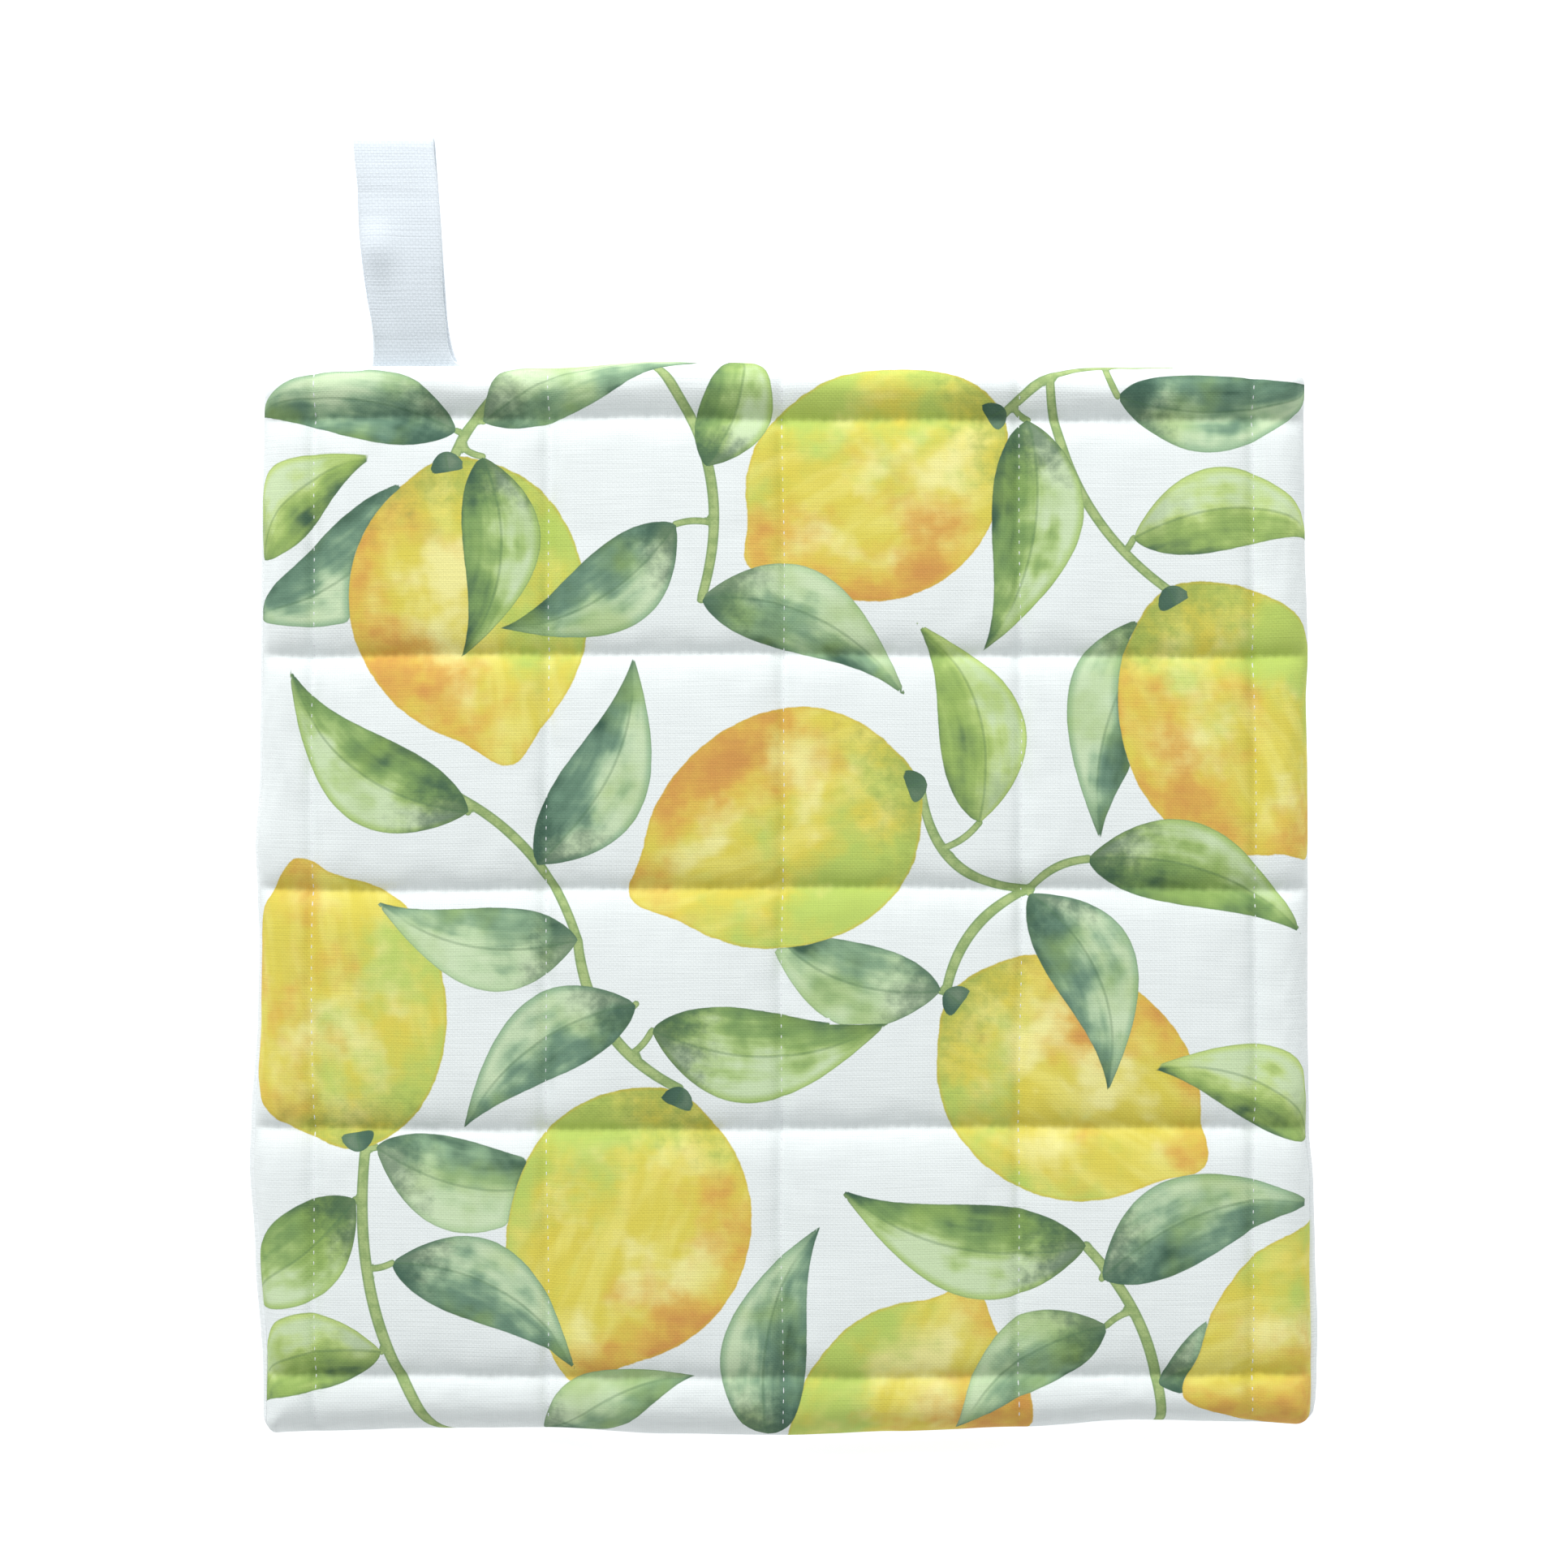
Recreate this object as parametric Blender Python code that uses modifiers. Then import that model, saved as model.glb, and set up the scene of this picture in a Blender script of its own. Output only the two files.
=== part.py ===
"""A square quilted pot holder with a tape loop, lying on its back, face up.

The printed front panel carries the filling and is one filled solid with sewn channels. The plain
back panel is a sheet that closes it underneath, and a folded cotton tape is sewn into the top
seam as a hanging loop. Everything is laid out from the middle of the pad, in metres, with +X to
the right, +Y towards the loop and +Z up, and is then moved so that the origin lies under the
middle of the whole pot holder.
"""

import math

import bmesh
import bpy
from mathutils import Vector

MM = 0.001

# Driving sizes of the pad, in millimetres
HALF_WIDTH = 100.5
HALF_HEIGHT = 102.0
CROWN_Z = 9.8
SEAM_Z = 2.4
PIECE_GAP = 0.3
EDGE_WALL = 0.7

# Where the sewn lines lie: the columns run up the pad and the rows run across it
COLUMN_X = (-89.6, -45.0, -0.2, 45.0, 89.6)
ROW_Y = (-90.9, -43.7, 1.9, 46.4, 91.3)

# How the sewing pulls the two faces in
ROW_DEPTH = 3.6
COLUMN_DEPTH = 2.0
SHOULDER = 8.5
SHOULDER_POWER = 2.3
HALF_CELL = 22.0
PUFF_VARIATION = 0.35
PUFF_STEPS = (2.3, 1.7)
BORDER_DROP = 1.0
FRONT_RIM = 5.5
BACK_GROOVE = 1.0
BACK_GROOVE_HALF_WIDTH = 4.0
BACK_RIM = 3.2
BACK_BORDER_LIFT = 0.5

# How far each edge stands out from the straight pad: along the edge, outwards
LEFT_EDGE = (
    (-102.0, -0.7), (-90.9, -0.5), (-67.3, 1.0), (-50.3, 2.1), (-43.7, 1.8), (-20.9, 0.4), (-8.5, 0.1),
    (1.9, 0.5), (10.1, 0.9), (24.0, 0.0), (46.4, -0.2), (68.9, -0.2), (91.3, -0.8), (102.0, -1.0),
)
RIGHT_EDGE = (
    (-102.0, 1.4), (-90.9, 1.8), (-82.8, 2.0), (-67.3, 1.5), (-55.0, 1.2), (-43.7, 0.3), (-20.9, 0.0),
    (1.9, 0.1), (24.0, 0.0), (37.9, -0.3), (46.4, 0.1), (68.9, -0.5), (91.3, -0.7), (102.0, -0.6),
)
TOP_EDGE = (
    (-100.5, -0.3), (-89.6, -0.4), (-67.3, -0.3), (-45.0, -0.4), (-22.6, 0.9), (-0.2, 0.5),
    (22.4, 0.2), (45.0, 0.0), (67.2, -0.3), (89.6, -0.6), (100.5, -1.2),
)
BOTTOM_EDGE = (
    (-100.5, 0.6), (-89.6, 0.3), (-67.3, -0.3), (-45.0, -0.4), (-22.6, 0.8), (-0.2, 1.1),
    (22.4, 0.3), (45.0, -0.5), (67.2, -1.9), (89.6, -1.5), (100.5, -0.9),
)

# Corner radii, by the side of X and of Y that the corner lies on
CORNER_RADIUS = {(-1, 1): 7.0, (1, 1): 3.0, (-1, -1): 3.2, (1, -1): 4.2}

# The white back shows past the print at the two sides, and not at the top and bottom
BACK_SHOWS_AT_SIDES = 0.8
FRONT_OVERHANG = 0.2

# Where mesh lines fall between two sewn lines, and between an edge and its sewn line
FRONT_CELL_STEPS = (0.0, 0.03, 0.08, 0.16, 0.3, 0.5, 0.7, 0.84, 0.92, 0.97)
BACK_CELL_STEPS = (0.0, 0.035, 0.09, 0.3, 0.5, 0.7, 0.91, 0.965)
BORDER_STEPS = (0.0, 0.04, 0.12, 0.26, 0.48, 0.74)
SHARP_ANGLE = math.radians(50)

# The hanging loop, from inside the seam over its crest, round the fold and back under itself
TAPE_THICKNESS = 1.0
TAPE_BURIED = 8.0
POCKET_DEPTH = 9.0
POCKET_OUTSIDE = 4.0
POCKET_SIDE_CLEARANCE = 0.6
UPPER_IN_SEAM_Z = SEAM_Z + 2 * PIECE_GAP + 1.5 * TAPE_THICKNESS
LOWER_IN_SEAM_Z = SEAM_Z + PIECE_GAP + 0.5 * TAPE_THICKNESS
TAPE_STATIONS = (
    # beyond the top edge, height, left side, right side
    (-8.0, UPPER_IN_SEAM_Z, -78.8, -63.6),
    (-4.0, UPPER_IN_SEAM_Z, -78.8, -63.2),
    (-0.2, UPPER_IN_SEAM_Z, -78.8, -61.9),
    (1.4, 4.8, -78.6, -63.1),
    (4.0, 5.4, -78.4, -63.9),
    (8.0, 6.7, -78.7, -64.2),
    (14.0, 8.5, -79.1, -64.8),
    (21.0, 9.4, -79.8, -65.2),
    (28.0, 9.0, -80.5, -65.6),
    (34.0, 7.5, -81.2, -66.0),
    (39.0, 5.6, -81.9, -66.4),
    (42.2, 4.2, -82.3, -66.6),
    (43.4, 2.8, -82.4, -66.7),
    (42.0, 1.5, -82.3, -66.6),
    (38.0, 0.9, -82.0, -66.5),
    (30.0, 0.8, -81.6, -66.2),
    (22.0, 0.8, -81.1, -65.8),
    (14.0, 1.1, -80.3, -65.0),
    (8.0, 1.9, -79.3, -64.2),
    (3.5, 2.9, -78.9, -63.2),
    (-0.2, LOWER_IN_SEAM_Z, -78.8, -62.2),
    (-4.0, LOWER_IN_SEAM_Z, -78.8, -63.2),
    (-8.0, LOWER_IN_SEAM_Z, -78.8, -63.6),
)
TAPE_STEPS_PER_STATION = 3
TAPE_COLUMNS = 3
TAPE_ROOT_Y = 101.6

# Colour, roughness
FINISHES = {
    "printed_cotton": ((0.80, 0.76, 0.38, 1.0), 0.86),
    "white_cotton": ((0.86, 0.87, 0.88, 1.0), 0.88),
    "cotton_tape": ((0.88, 0.90, 0.93, 1.0), 0.85),
}


def clear_scene():
    for obj in list(bpy.data.objects):
        bpy.data.objects.remove(obj, do_unlink=True)


def new_collection(name):
    collection = bpy.data.collections.new(name)
    bpy.context.scene.collection.children.link(collection)
    return collection


def finish(name):
    """The cloth's material: a Principled BSDF in its plain colour."""
    colour, roughness = FINISHES[name]
    material = bpy.data.materials.new(name)
    material.use_nodes = True
    shader = material.node_tree.nodes["Principled BSDF"]
    shader.inputs["Base Color"].default_value = colour
    shader.inputs["Roughness"].default_value = roughness
    shader.inputs["Metallic"].default_value = 0.0
    material.diffuse_color = colour
    return material


def along_table(table, at):
    """A table's second column at a place along its first, eased from row to row."""
    if at <= table[0][0]:
        return table[0][1]
    for (start, low), (end, high) in zip(table, table[1:]):
        if at <= end:
            share = (at - start) / (end - start)
            return low + (high - low) * share * share * (3 - 2 * share)
    return table[-1][1]


def mesh_lines(half, sewn, cell_steps):
    """Where the mesh lines lie across the pad, from edge to edge, finer at the sewn lines."""
    first, last = sewn[0] + half, half - sewn[-1]
    lines = [-half + step * first for step in BORDER_STEPS]
    for start, end in zip(sewn, sewn[1:]):
        lines += [start + step * (end - start) for step in cell_steps]
    lines.append(sewn[-1])
    lines += [half - step * last for step in reversed(BORDER_STEPS)]
    return lines


def round_corner(x, y):
    """The point moved so that the nearest corner is round, and its distance from the edge."""
    inward_x, inward_y = HALF_WIDTH - abs(x), HALF_HEIGHT - abs(y)
    side = (1 if x > 0 else -1, 1 if y > 0 else -1)
    radius = CORNER_RADIUS[side]
    if inward_x >= radius or inward_y >= radius:
        return x, y, min(inward_x, inward_y)
    a, b = 1 - inward_x / radius, 1 - inward_y / radius
    round_a = a * math.sqrt(1 - b * b / 2)
    round_b = b * math.sqrt(1 - a * a / 2)
    moved_x = side[0] * (HALF_WIDTH - radius * (1 - round_a))
    moved_y = side[1] * (HALF_HEIGHT - radius * (1 - round_b))
    return moved_x, moved_y, radius * (1 - math.hypot(round_a, round_b))


def uneven_edge(x, y, side_inset, end_inset):
    """The point moved with the uneven edge nearest to it. The move fades out by the sewn line."""
    reach_x = max(0.0, 1 - (HALF_WIDTH - abs(x)) / (HALF_WIDTH - COLUMN_X[-1]))
    reach_y = max(0.0, 1 - (HALF_HEIGHT - abs(y)) / (HALF_HEIGHT - ROW_Y[-1]))
    side_table = RIGHT_EDGE if x > 0 else LEFT_EDGE
    end_table = TOP_EDGE if y > 0 else BOTTOM_EDGE
    out_x = (along_table(side_table, y) - side_inset) * reach_x
    out_y = (along_table(end_table, x) - end_inset) * reach_y
    return x + math.copysign(out_x, x), y + math.copysign(out_y, y)


def rise(distance, width, power):
    """0 on a sewn line, rising over a rounded shoulder to 1 at its width."""
    return 1 - (1 - min(distance / width, 1)) ** power


def rim(distance, width):
    """0 at the edge, rising round a quarter circle to 1 at its width."""
    return math.sqrt(1 - (1 - min(distance / width, 1)) ** 2)


def nearest(value, lines):
    return min(abs(value - line) for line in lines)


def cell_of(value, lines):
    return sum(value > line for line in lines)


def puff(x, y):
    """How much the filling under this cell of the quilting differs from its neighbours."""
    column, row = cell_of(x, COLUMN_X), cell_of(y, ROW_Y)
    dome = rise(nearest(x, COLUMN_X), HALF_CELL, 2) * rise(nearest(y, ROW_Y), HALF_CELL, 2)
    return PUFF_VARIATION * dome * (1 + math.sin(PUFF_STEPS[0] * column + PUFF_STEPS[1] * row))


def front_height(x, y, edge_distance):
    """Height of the printed face over the table."""
    height = CROWN_Z + puff(x, y)
    height -= ROW_DEPTH * (1 - rise(nearest(y, ROW_Y), SHOULDER, SHOULDER_POWER))
    height -= COLUMN_DEPTH * (1 - rise(nearest(x, COLUMN_X), SHOULDER, SHOULDER_POWER))
    border = HALF_WIDTH - COLUMN_X[-1]
    height -= BORDER_DROP * max(0.0, 1 - edge_distance / border)
    foot = SEAM_Z + PIECE_GAP + EDGE_WALL
    return foot + (height - foot) * rim(edge_distance, FRONT_RIM)


def back_height(x, y, edge_distance):
    """Height of the underside: its squares lie flat on the table between shallow grooves, and the
    border past the outer sewn lines is drawn up a little, with a rounded rim."""
    row = 1 - rise(nearest(y, ROW_Y), BACK_GROOVE_HALF_WIDTH, 2)
    column = 1 - rise(nearest(x, COLUMN_X), BACK_GROOVE_HALF_WIDTH, 2)
    groove = BACK_GROOVE * max(row, column)
    on_border = not COLUMN_X[0] < x < COLUMN_X[-1] or not ROW_Y[0] < y < ROW_Y[-1]
    lift = BACK_BORDER_LIFT if on_border else 0.0
    wall = lift + (SEAM_Z - EDGE_WALL - lift) * (1 - rim(edge_distance, BACK_RIM))
    return max(groove, wall)


def panel(name, cell_steps, height, flat_z, side_inset, end_inset, material, collection):
    """A panel of the pad: one face follows the quilting and the other is flat at the seam."""
    columns = mesh_lines(HALF_WIDTH, COLUMN_X, cell_steps)
    rows = mesh_lines(HALF_HEIGHT, ROW_Y, cell_steps)
    mesh = bpy.data.meshes.new(name)
    bm = bmesh.new()
    bmesh.ops.create_grid(bm, x_segments=len(columns) - 1, y_segments=len(rows) - 1, size=1)
    for vertex in bm.verts:
        x = columns[round((vertex.co.x + 1) / 2 * (len(columns) - 1))]
        y = rows[round((vertex.co.y + 1) / 2 * (len(rows) - 1))]
        round_x, round_y, edge_distance = round_corner(x, y)
        z = height(x, y, edge_distance)
        placed_x, placed_y = uneven_edge(round_x, round_y, side_inset, end_inset)
        vertex.co = Vector((placed_x, placed_y, z)) * MM
    walls = bmesh.ops.extrude_face_region(bm, geom=bm.faces[:])
    for item in walls["geom"]:
        if isinstance(item, bmesh.types.BMVert):
            item.co.z = flat_z * MM
    bmesh.ops.recalc_face_normals(bm, faces=bm.faces[:])
    bm.to_mesh(mesh)
    bm.free()
    mesh.shade_smooth()
    mesh.set_sharp_from_angle(angle=SHARP_ANGLE)
    obj = bpy.data.objects.new(name, mesh)
    obj.data.materials.append(material)
    collection.objects.link(obj)
    return obj


def smooth_station(stations, at):
    """A row of the tape's table at a fractional row number, on a curve through every row."""
    index = min(int(at), len(stations) - 2)
    share = at - index
    picks = [stations[min(max(index + k, 0), len(stations) - 1)] for k in (-1, 0, 1, 2)]
    before, start, end, after = picks
    return [
        0.5 * (2 * b + (c - a) * share + (2 * a - 5 * b + 4 * c - d) * share**2
               + (3 * b - a - 3 * c + d) * share**3)
        for a, b, c, d in zip(before, start, end, after)
    ]


def tape_loop(name, material, collection):
    """The folded tape: an open strip that follows its table of stations, given its thickness."""
    rows = (len(TAPE_STATIONS) - 1) * TAPE_STEPS_PER_STATION
    mesh = bpy.data.meshes.new(name)
    bm = bmesh.new()
    bmesh.ops.create_grid(bm, x_segments=TAPE_COLUMNS, y_segments=rows, size=1)
    for vertex in bm.verts:
        across = (vertex.co.x + 1) / 2
        at = (vertex.co.y + 1) / 2 * (len(TAPE_STATIONS) - 1)
        beyond, z, left, right = smooth_station(TAPE_STATIONS, at)
        vertex.co = Vector((left + (right - left) * across, TAPE_ROOT_Y + beyond, z)) * MM
    bm.to_mesh(mesh)
    bm.free()
    mesh.shade_smooth()
    obj = bpy.data.objects.new(name, mesh)
    thickness = obj.modifiers.new("tape thickness", "SOLIDIFY")
    thickness.thickness = TAPE_THICKNESS * MM
    thickness.offset = 0.0
    thickness.use_even_offset = True
    obj.data.materials.append(material)
    collection.objects.link(obj)
    return obj


def seam_pocket(collection):
    """The cutter that opens the seam for the two ends of the tape."""
    left = min(station[2] for station in TAPE_STATIONS if station[0] <= 0)
    right = max(station[3] for station in TAPE_STATIONS if station[0] <= 0)
    low = Vector((left - POCKET_SIDE_CLEARANCE, TAPE_ROOT_Y - POCKET_DEPTH, SEAM_Z - PIECE_GAP))
    roof_z = UPPER_IN_SEAM_Z + TAPE_THICKNESS / 2 + PIECE_GAP
    high = Vector((right + POCKET_SIDE_CLEARANCE, TAPE_ROOT_Y + POCKET_OUTSIDE, roof_z))
    mesh = bpy.data.meshes.new("seam_pocket_cutter")
    bm = bmesh.new()
    bmesh.ops.create_cube(bm, size=1)
    bmesh.ops.scale(bm, vec=(high - low) * MM, verts=bm.verts[:])
    bmesh.ops.translate(bm, vec=(high + low) / 2 * MM, verts=bm.verts[:])
    bm.to_mesh(mesh)
    bm.free()
    cutter = bpy.data.objects.new("seam_pocket_cutter", mesh)
    cutter.hide_render = True
    cutter.display_type = "WIRE"
    collection.objects.link(cutter)
    return cutter


def cut(obj, cutter):
    modifier = obj.modifiers.new("seam pocket", "BOOLEAN")
    modifier.operation = "DIFFERENCE"
    modifier.object = cutter


def stand_on_origin(pieces, others):
    """Hangs the pieces on an empty that puts the origin under the middle of their box."""
    bpy.context.view_layer.update()
    graph = bpy.context.evaluated_depsgraph_get()
    corners = [Vector(corner) for piece in pieces for corner in piece.evaluated_get(graph).bound_box]
    low = Vector([min(corner[axis] for corner in corners) for axis in range(3)])
    high = Vector([max(corner[axis] for corner in corners) for axis in range(3)])
    place = bpy.data.objects.new("pot_holder_place", None)
    place.location = (-(low.x + high.x) / 2, -(low.y + high.y) / 2, -low.z)
    bpy.context.scene.collection.objects.link(place)
    for obj in pieces + others:
        obj.parent = place


def build():
    clear_scene()
    pot_holder = new_collection("pot_holder")
    cutters = new_collection("cutters")
    finishes = {name: finish(name) for name in FINISHES}
    front = panel(
        "front_panel", FRONT_CELL_STEPS, front_height, SEAM_Z + PIECE_GAP,
        BACK_SHOWS_AT_SIDES, 0.0, finishes["printed_cotton"], pot_holder,
    )
    back = panel(
        "back_panel", BACK_CELL_STEPS, back_height, SEAM_Z,
        0.0, FRONT_OVERHANG, finishes["white_cotton"], pot_holder,
    )
    loop = tape_loop("hanging_loop", finishes["cotton_tape"], pot_holder)
    pocket = seam_pocket(cutters)
    cut(front, pocket)
    stand_on_origin([front, back, loop], [pocket])


build()
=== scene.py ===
# %% [markdown]
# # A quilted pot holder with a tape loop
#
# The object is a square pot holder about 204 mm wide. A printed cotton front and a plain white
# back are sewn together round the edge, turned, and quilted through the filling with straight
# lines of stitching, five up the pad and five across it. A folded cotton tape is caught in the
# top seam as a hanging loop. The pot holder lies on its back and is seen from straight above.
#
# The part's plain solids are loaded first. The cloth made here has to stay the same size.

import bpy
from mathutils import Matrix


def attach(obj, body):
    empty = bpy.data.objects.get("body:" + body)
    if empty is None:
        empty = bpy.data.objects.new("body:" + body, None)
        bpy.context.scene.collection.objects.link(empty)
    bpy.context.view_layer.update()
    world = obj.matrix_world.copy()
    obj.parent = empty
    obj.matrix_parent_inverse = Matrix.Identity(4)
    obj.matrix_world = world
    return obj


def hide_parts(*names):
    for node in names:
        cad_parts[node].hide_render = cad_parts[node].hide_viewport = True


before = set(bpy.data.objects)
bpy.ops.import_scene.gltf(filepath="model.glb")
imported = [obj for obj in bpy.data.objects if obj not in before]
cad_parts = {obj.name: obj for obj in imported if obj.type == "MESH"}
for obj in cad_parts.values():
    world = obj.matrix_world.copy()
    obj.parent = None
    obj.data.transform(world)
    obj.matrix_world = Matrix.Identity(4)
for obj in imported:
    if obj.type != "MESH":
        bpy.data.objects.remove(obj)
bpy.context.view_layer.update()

# %% The modules that the lesson uses
import math

import bmesh
import bpy
import numpy as np
from mathutils import Matrix, Vector

# %% [markdown]
# ## The pad's sizes
#
# All lengths are in millimetres from the middle of the pad, with X to the right and Y towards
# the loop, and become metres when a mesh is made. The sewn lines and the wandering edges are the
# same values as in the part's source, because a hand-turned pad is never quite square. The crown
# is a little lower, as the cloth is swollen later.

# %% Sizes of the pad
MM = 0.001
PAD_MIDDLE = Vector((0.05, -20.71, 0.0))
HALF_WIDTH, HALF_HEIGHT = 100.5, 102.0
COLUMN_X = (-89.6, -45.0, -0.2, 45.0, 89.6)
ROW_Y = (-90.9, -43.7, 1.9, 46.4, 91.3)
BORDER = HALF_WIDTH - COLUMN_X[-1]
CROWN_Z = 9.2
ROW_DEPTH, COLUMN_DEPTH, SHOULDER = 2.0, 1.3, 2.2
TOP_FULLNESS, TOP_REACH = 1.5, 4.2
BOTTOM_DROOP = 0.009
print("cells of the quilting, mm:", np.diff(COLUMN_X), np.diff(ROW_Y))

# %% How far each edge stands out from a straight pad, as pairs of place and distance
LEFT_EDGE = (
    (-102, -0.7), (-90.9, -0.5), (-67.3, 1), (-50.3, 2.1), (-43.7, 1.8), (-20.9, 0.4), (-8.5, 0.1),
    (1.9, 0.5), (10.1, 0.9), (24, 0), (46.4, -0.2), (68.9, -0.2), (91.3, -0.8), (102, -1),
)
RIGHT_EDGE = (
    (-102, 1.4), (-90.9, 1.8), (-82.8, 2), (-67.3, 1.5), (-55, 1.2), (-43.7, 0.3), (-20.9, 0),
    (1.9, 0.1), (24, 0), (37.9, -0.3), (46.4, 0.1), (68.9, -0.5), (91.3, -0.7), (102, -0.6),
)
TOP_EDGE = (
    (-100.5, -0.3), (-89.6, -0.4), (-67.3, -0.3), (-45, -0.4), (-22.6, 0.9), (-0.2, 0.5),
    (22.4, 0.2), (45, 0), (67.2, -0.3), (89.6, -0.6), (100.5, -1.2),
)
BOTTOM_EDGE = (
    (-100.5, 0.6), (-89.6, 0.3), (-67.3, -0.3), (-45, -0.4), (-22.6, 0.8), (-0.2, 1.1),
    (22.4, 0.3), (45, -0.5), (67.2, -1.9), (89.6, -1.5), (100.5, -0.9),
)

# %% [markdown]
# The seam does not run exactly along the edge. At the two sides it has rolled onto the front,
# so a sliver of the white back shows from above. These tables give its width. The seam itself
# lies on a small roll of cloth, so where more of the back shows the seam is higher too.

# %% How much of the back rolls up past the seam
LEFT_PEEP = (
    (-104, 0.8), (-80, 1.4), (-40, 1.1), (0, 0.7), (60, 0.6), (85, 0.2), (104, 0.1),
)
RIGHT_PEEP = (
    (-104, 1.1), (-80, 1.6), (-50, 1), (-28, 0.4), (0, 0.15), (104, 0.1),
)
ROLL_RADIUS = 1.5
BORDER_LIFT = 0.5


def soft_ends(share):
    """A share from 0 to 1 that starts and ends softly."""
    return share * share * (3 - 2 * share)


def along_table(table, at):
    """The table's value at each place along it, eased from row to row."""
    places, values = np.array(table).T
    at = np.clip(at, places[0], places[-1])
    row = np.clip(np.searchsorted(places, at) - 1, 0, len(places) - 2)
    share = (at - places[row]) / (places[row + 1] - places[row])
    return values[row] + (values[row + 1] - values[row]) * soft_ends(share)


print("back shows at the left, mm:", along_table(LEFT_PEEP, np.array([-80.0, 0.0, 80.0])).round(2))

# %% [markdown]
# ## The outline
#
# Both cloths start as a square grid and share one outline. Two steps shape it. First the four
# corners are rounded, each with its own radius, by mapping the square corner onto a quarter
# circle. Then the points near an edge are moved outwards by the tables above, and that move
# fades out by the first sewn line, which is straight.

# %% Round the corners and let the edges wander
BOTTOM_RADII, TOP_RADII = (3.2, 4.2), (7.0, 3.0)
CORNER_FADE, WANDER_FADE = 8.0, 9.0


def corner_radius(x, y):
    """The radius of the corner nearest to each point. Each pair of radii is left and right."""
    return np.where(y > 0, np.where(x > 0, *TOP_RADII[::-1]), np.where(x > 0, *BOTTOM_RADII[::-1]))


def round_corner(x, y):
    """The points moved so that the corners are round, and their distance from the edge."""
    inward_x, inward_y = HALF_WIDTH - np.abs(x), HALF_HEIGHT - np.abs(y)
    radius = corner_radius(x, y)
    a, b = np.clip(1 - inward_x / radius, 0, 1), np.clip(1 - inward_y / radius, 0, 1)
    round_a, round_b = a * np.sqrt(1 - b * b / 2), b * np.sqrt(1 - a * a / 2)
    in_corner = (a > 0) & (b > 0)
    moved_x = np.where(in_corner, np.sign(x) * (HALF_WIDTH - radius * (1 - round_a)), x)
    moved_y = np.where(in_corner, np.sign(y) * (HALF_HEIGHT - radius * (1 - round_b)), y)
    to_corner = radius * (1 - np.hypot(round_a, round_b))
    return moved_x, moved_y, np.where(in_corner, to_corner, np.minimum(inward_x, inward_y))


def peep(x, y):
    """How far the seam lies inside the outline at the side edges, fading out round the corners."""
    at_side = np.clip(0.5 + (HALF_HEIGHT - np.abs(y) - HALF_WIDTH + np.abs(x)) / CORNER_FADE, 0, 1)
    return soft_ends(at_side) * np.where(x > 0, along_table(RIGHT_PEEP, y), along_table(LEFT_PEEP, y))


def uneven_edge(x, y, side_inset):
    """The points moved with the uneven edges. The move fades out by the outer sewn lines."""
    reach_x = np.clip(1 - (HALF_WIDTH - np.abs(x)) / BORDER, 0, 1)
    reach_y = np.clip(1 - (HALF_HEIGHT - np.abs(y)) / BORDER, 0, 1)
    side = np.where(x > 0, along_table(RIGHT_EDGE, y), along_table(LEFT_EDGE, y))
    end = np.where(y > 0, along_table(TOP_EDGE, x), along_table(BOTTOM_EDGE, x))
    return x + np.sign(x) * (side - side_inset) * reach_x, y + np.sign(y) * end * reach_y


def sewing_wander(x, y, edge_distance):
    """Hand-guided lines of stitching are never quite straight: a small smooth shift."""
    fade = np.clip(edge_distance / WANDER_FADE, 0, 1)
    shift_x = 0.30 * np.sin(y / 27 + x / 51) + 0.12 * np.sin(y / 8.3 + x / 17)
    shift_y = 0.28 * np.sin(x / 31 + y / 39 + 1) + 0.12 * np.sin(x / 9.1 + y / 23)
    return x + shift_x * fade, y + shift_y * fade


corner = round_corner(np.array(HALF_WIDTH), np.array(HALF_HEIGHT))
print("a corner point moves to:", [round(float(value), 2) for value in corner[:2]])

# %% [markdown]
# ## The front's height
#
# Between two sewn lines the cloth stands nearly flat on the filling, and falls ever more steeply
# towards the stitching. The five rows across the pad pull deeper than the five columns that run
# up it. The top border holds the turned seam and the tape, and so it stands a little fuller,
# while the bottom border droops. Right at the thread the cloth dives a little further, and each
# needle hole of a row makes its own small dimple, two millimetres from the next.

# %% Height of the quilted front
STITCH = 2.0
ROLL_WIDTH = 5.5
PUFF_VARIATION, HALF_CELL = 0.08, 22.0
VALLEY_FLOOR = 0.9
BORDER_DROP = 1.0


def rise(distance, width):
    """0 on a sewn line, rising over a rounded shoulder to 1 at its width."""
    return 1 - (1 - np.minimum(distance / width, 1)) ** 2


def rim(distance, width):
    """0 at the edge, rising round a quarter circle to 1 at its width."""
    return np.sqrt(1 - (1 - np.clip(distance / width, 0, 1)) ** 2)


def bell(distance, width):
    """1 at no distance, falling off like a bell."""
    return np.exp(-((distance / width) ** 2))


def nearest(value, lines):
    return np.abs(value[..., None] - np.array(lines)).min(axis=-1)


def drawn_in(value, lines):
    """1 on a sewn line, where the floor of the valley is round, falling off to 0 beside it."""
    eased = np.hypot(nearest(value, lines), VALLEY_FLOOR) - VALLEY_FLOOR
    return np.exp(-eased / SHOULDER)


def seam_height(side_peep):
    """Height of the seam, which sits on the roll of the back where that shows."""
    return BORDER_LIFT + ROLL_RADIUS * (1 + np.sin(np.arccos(1 - side_peep / ROLL_RADIUS)))


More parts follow.
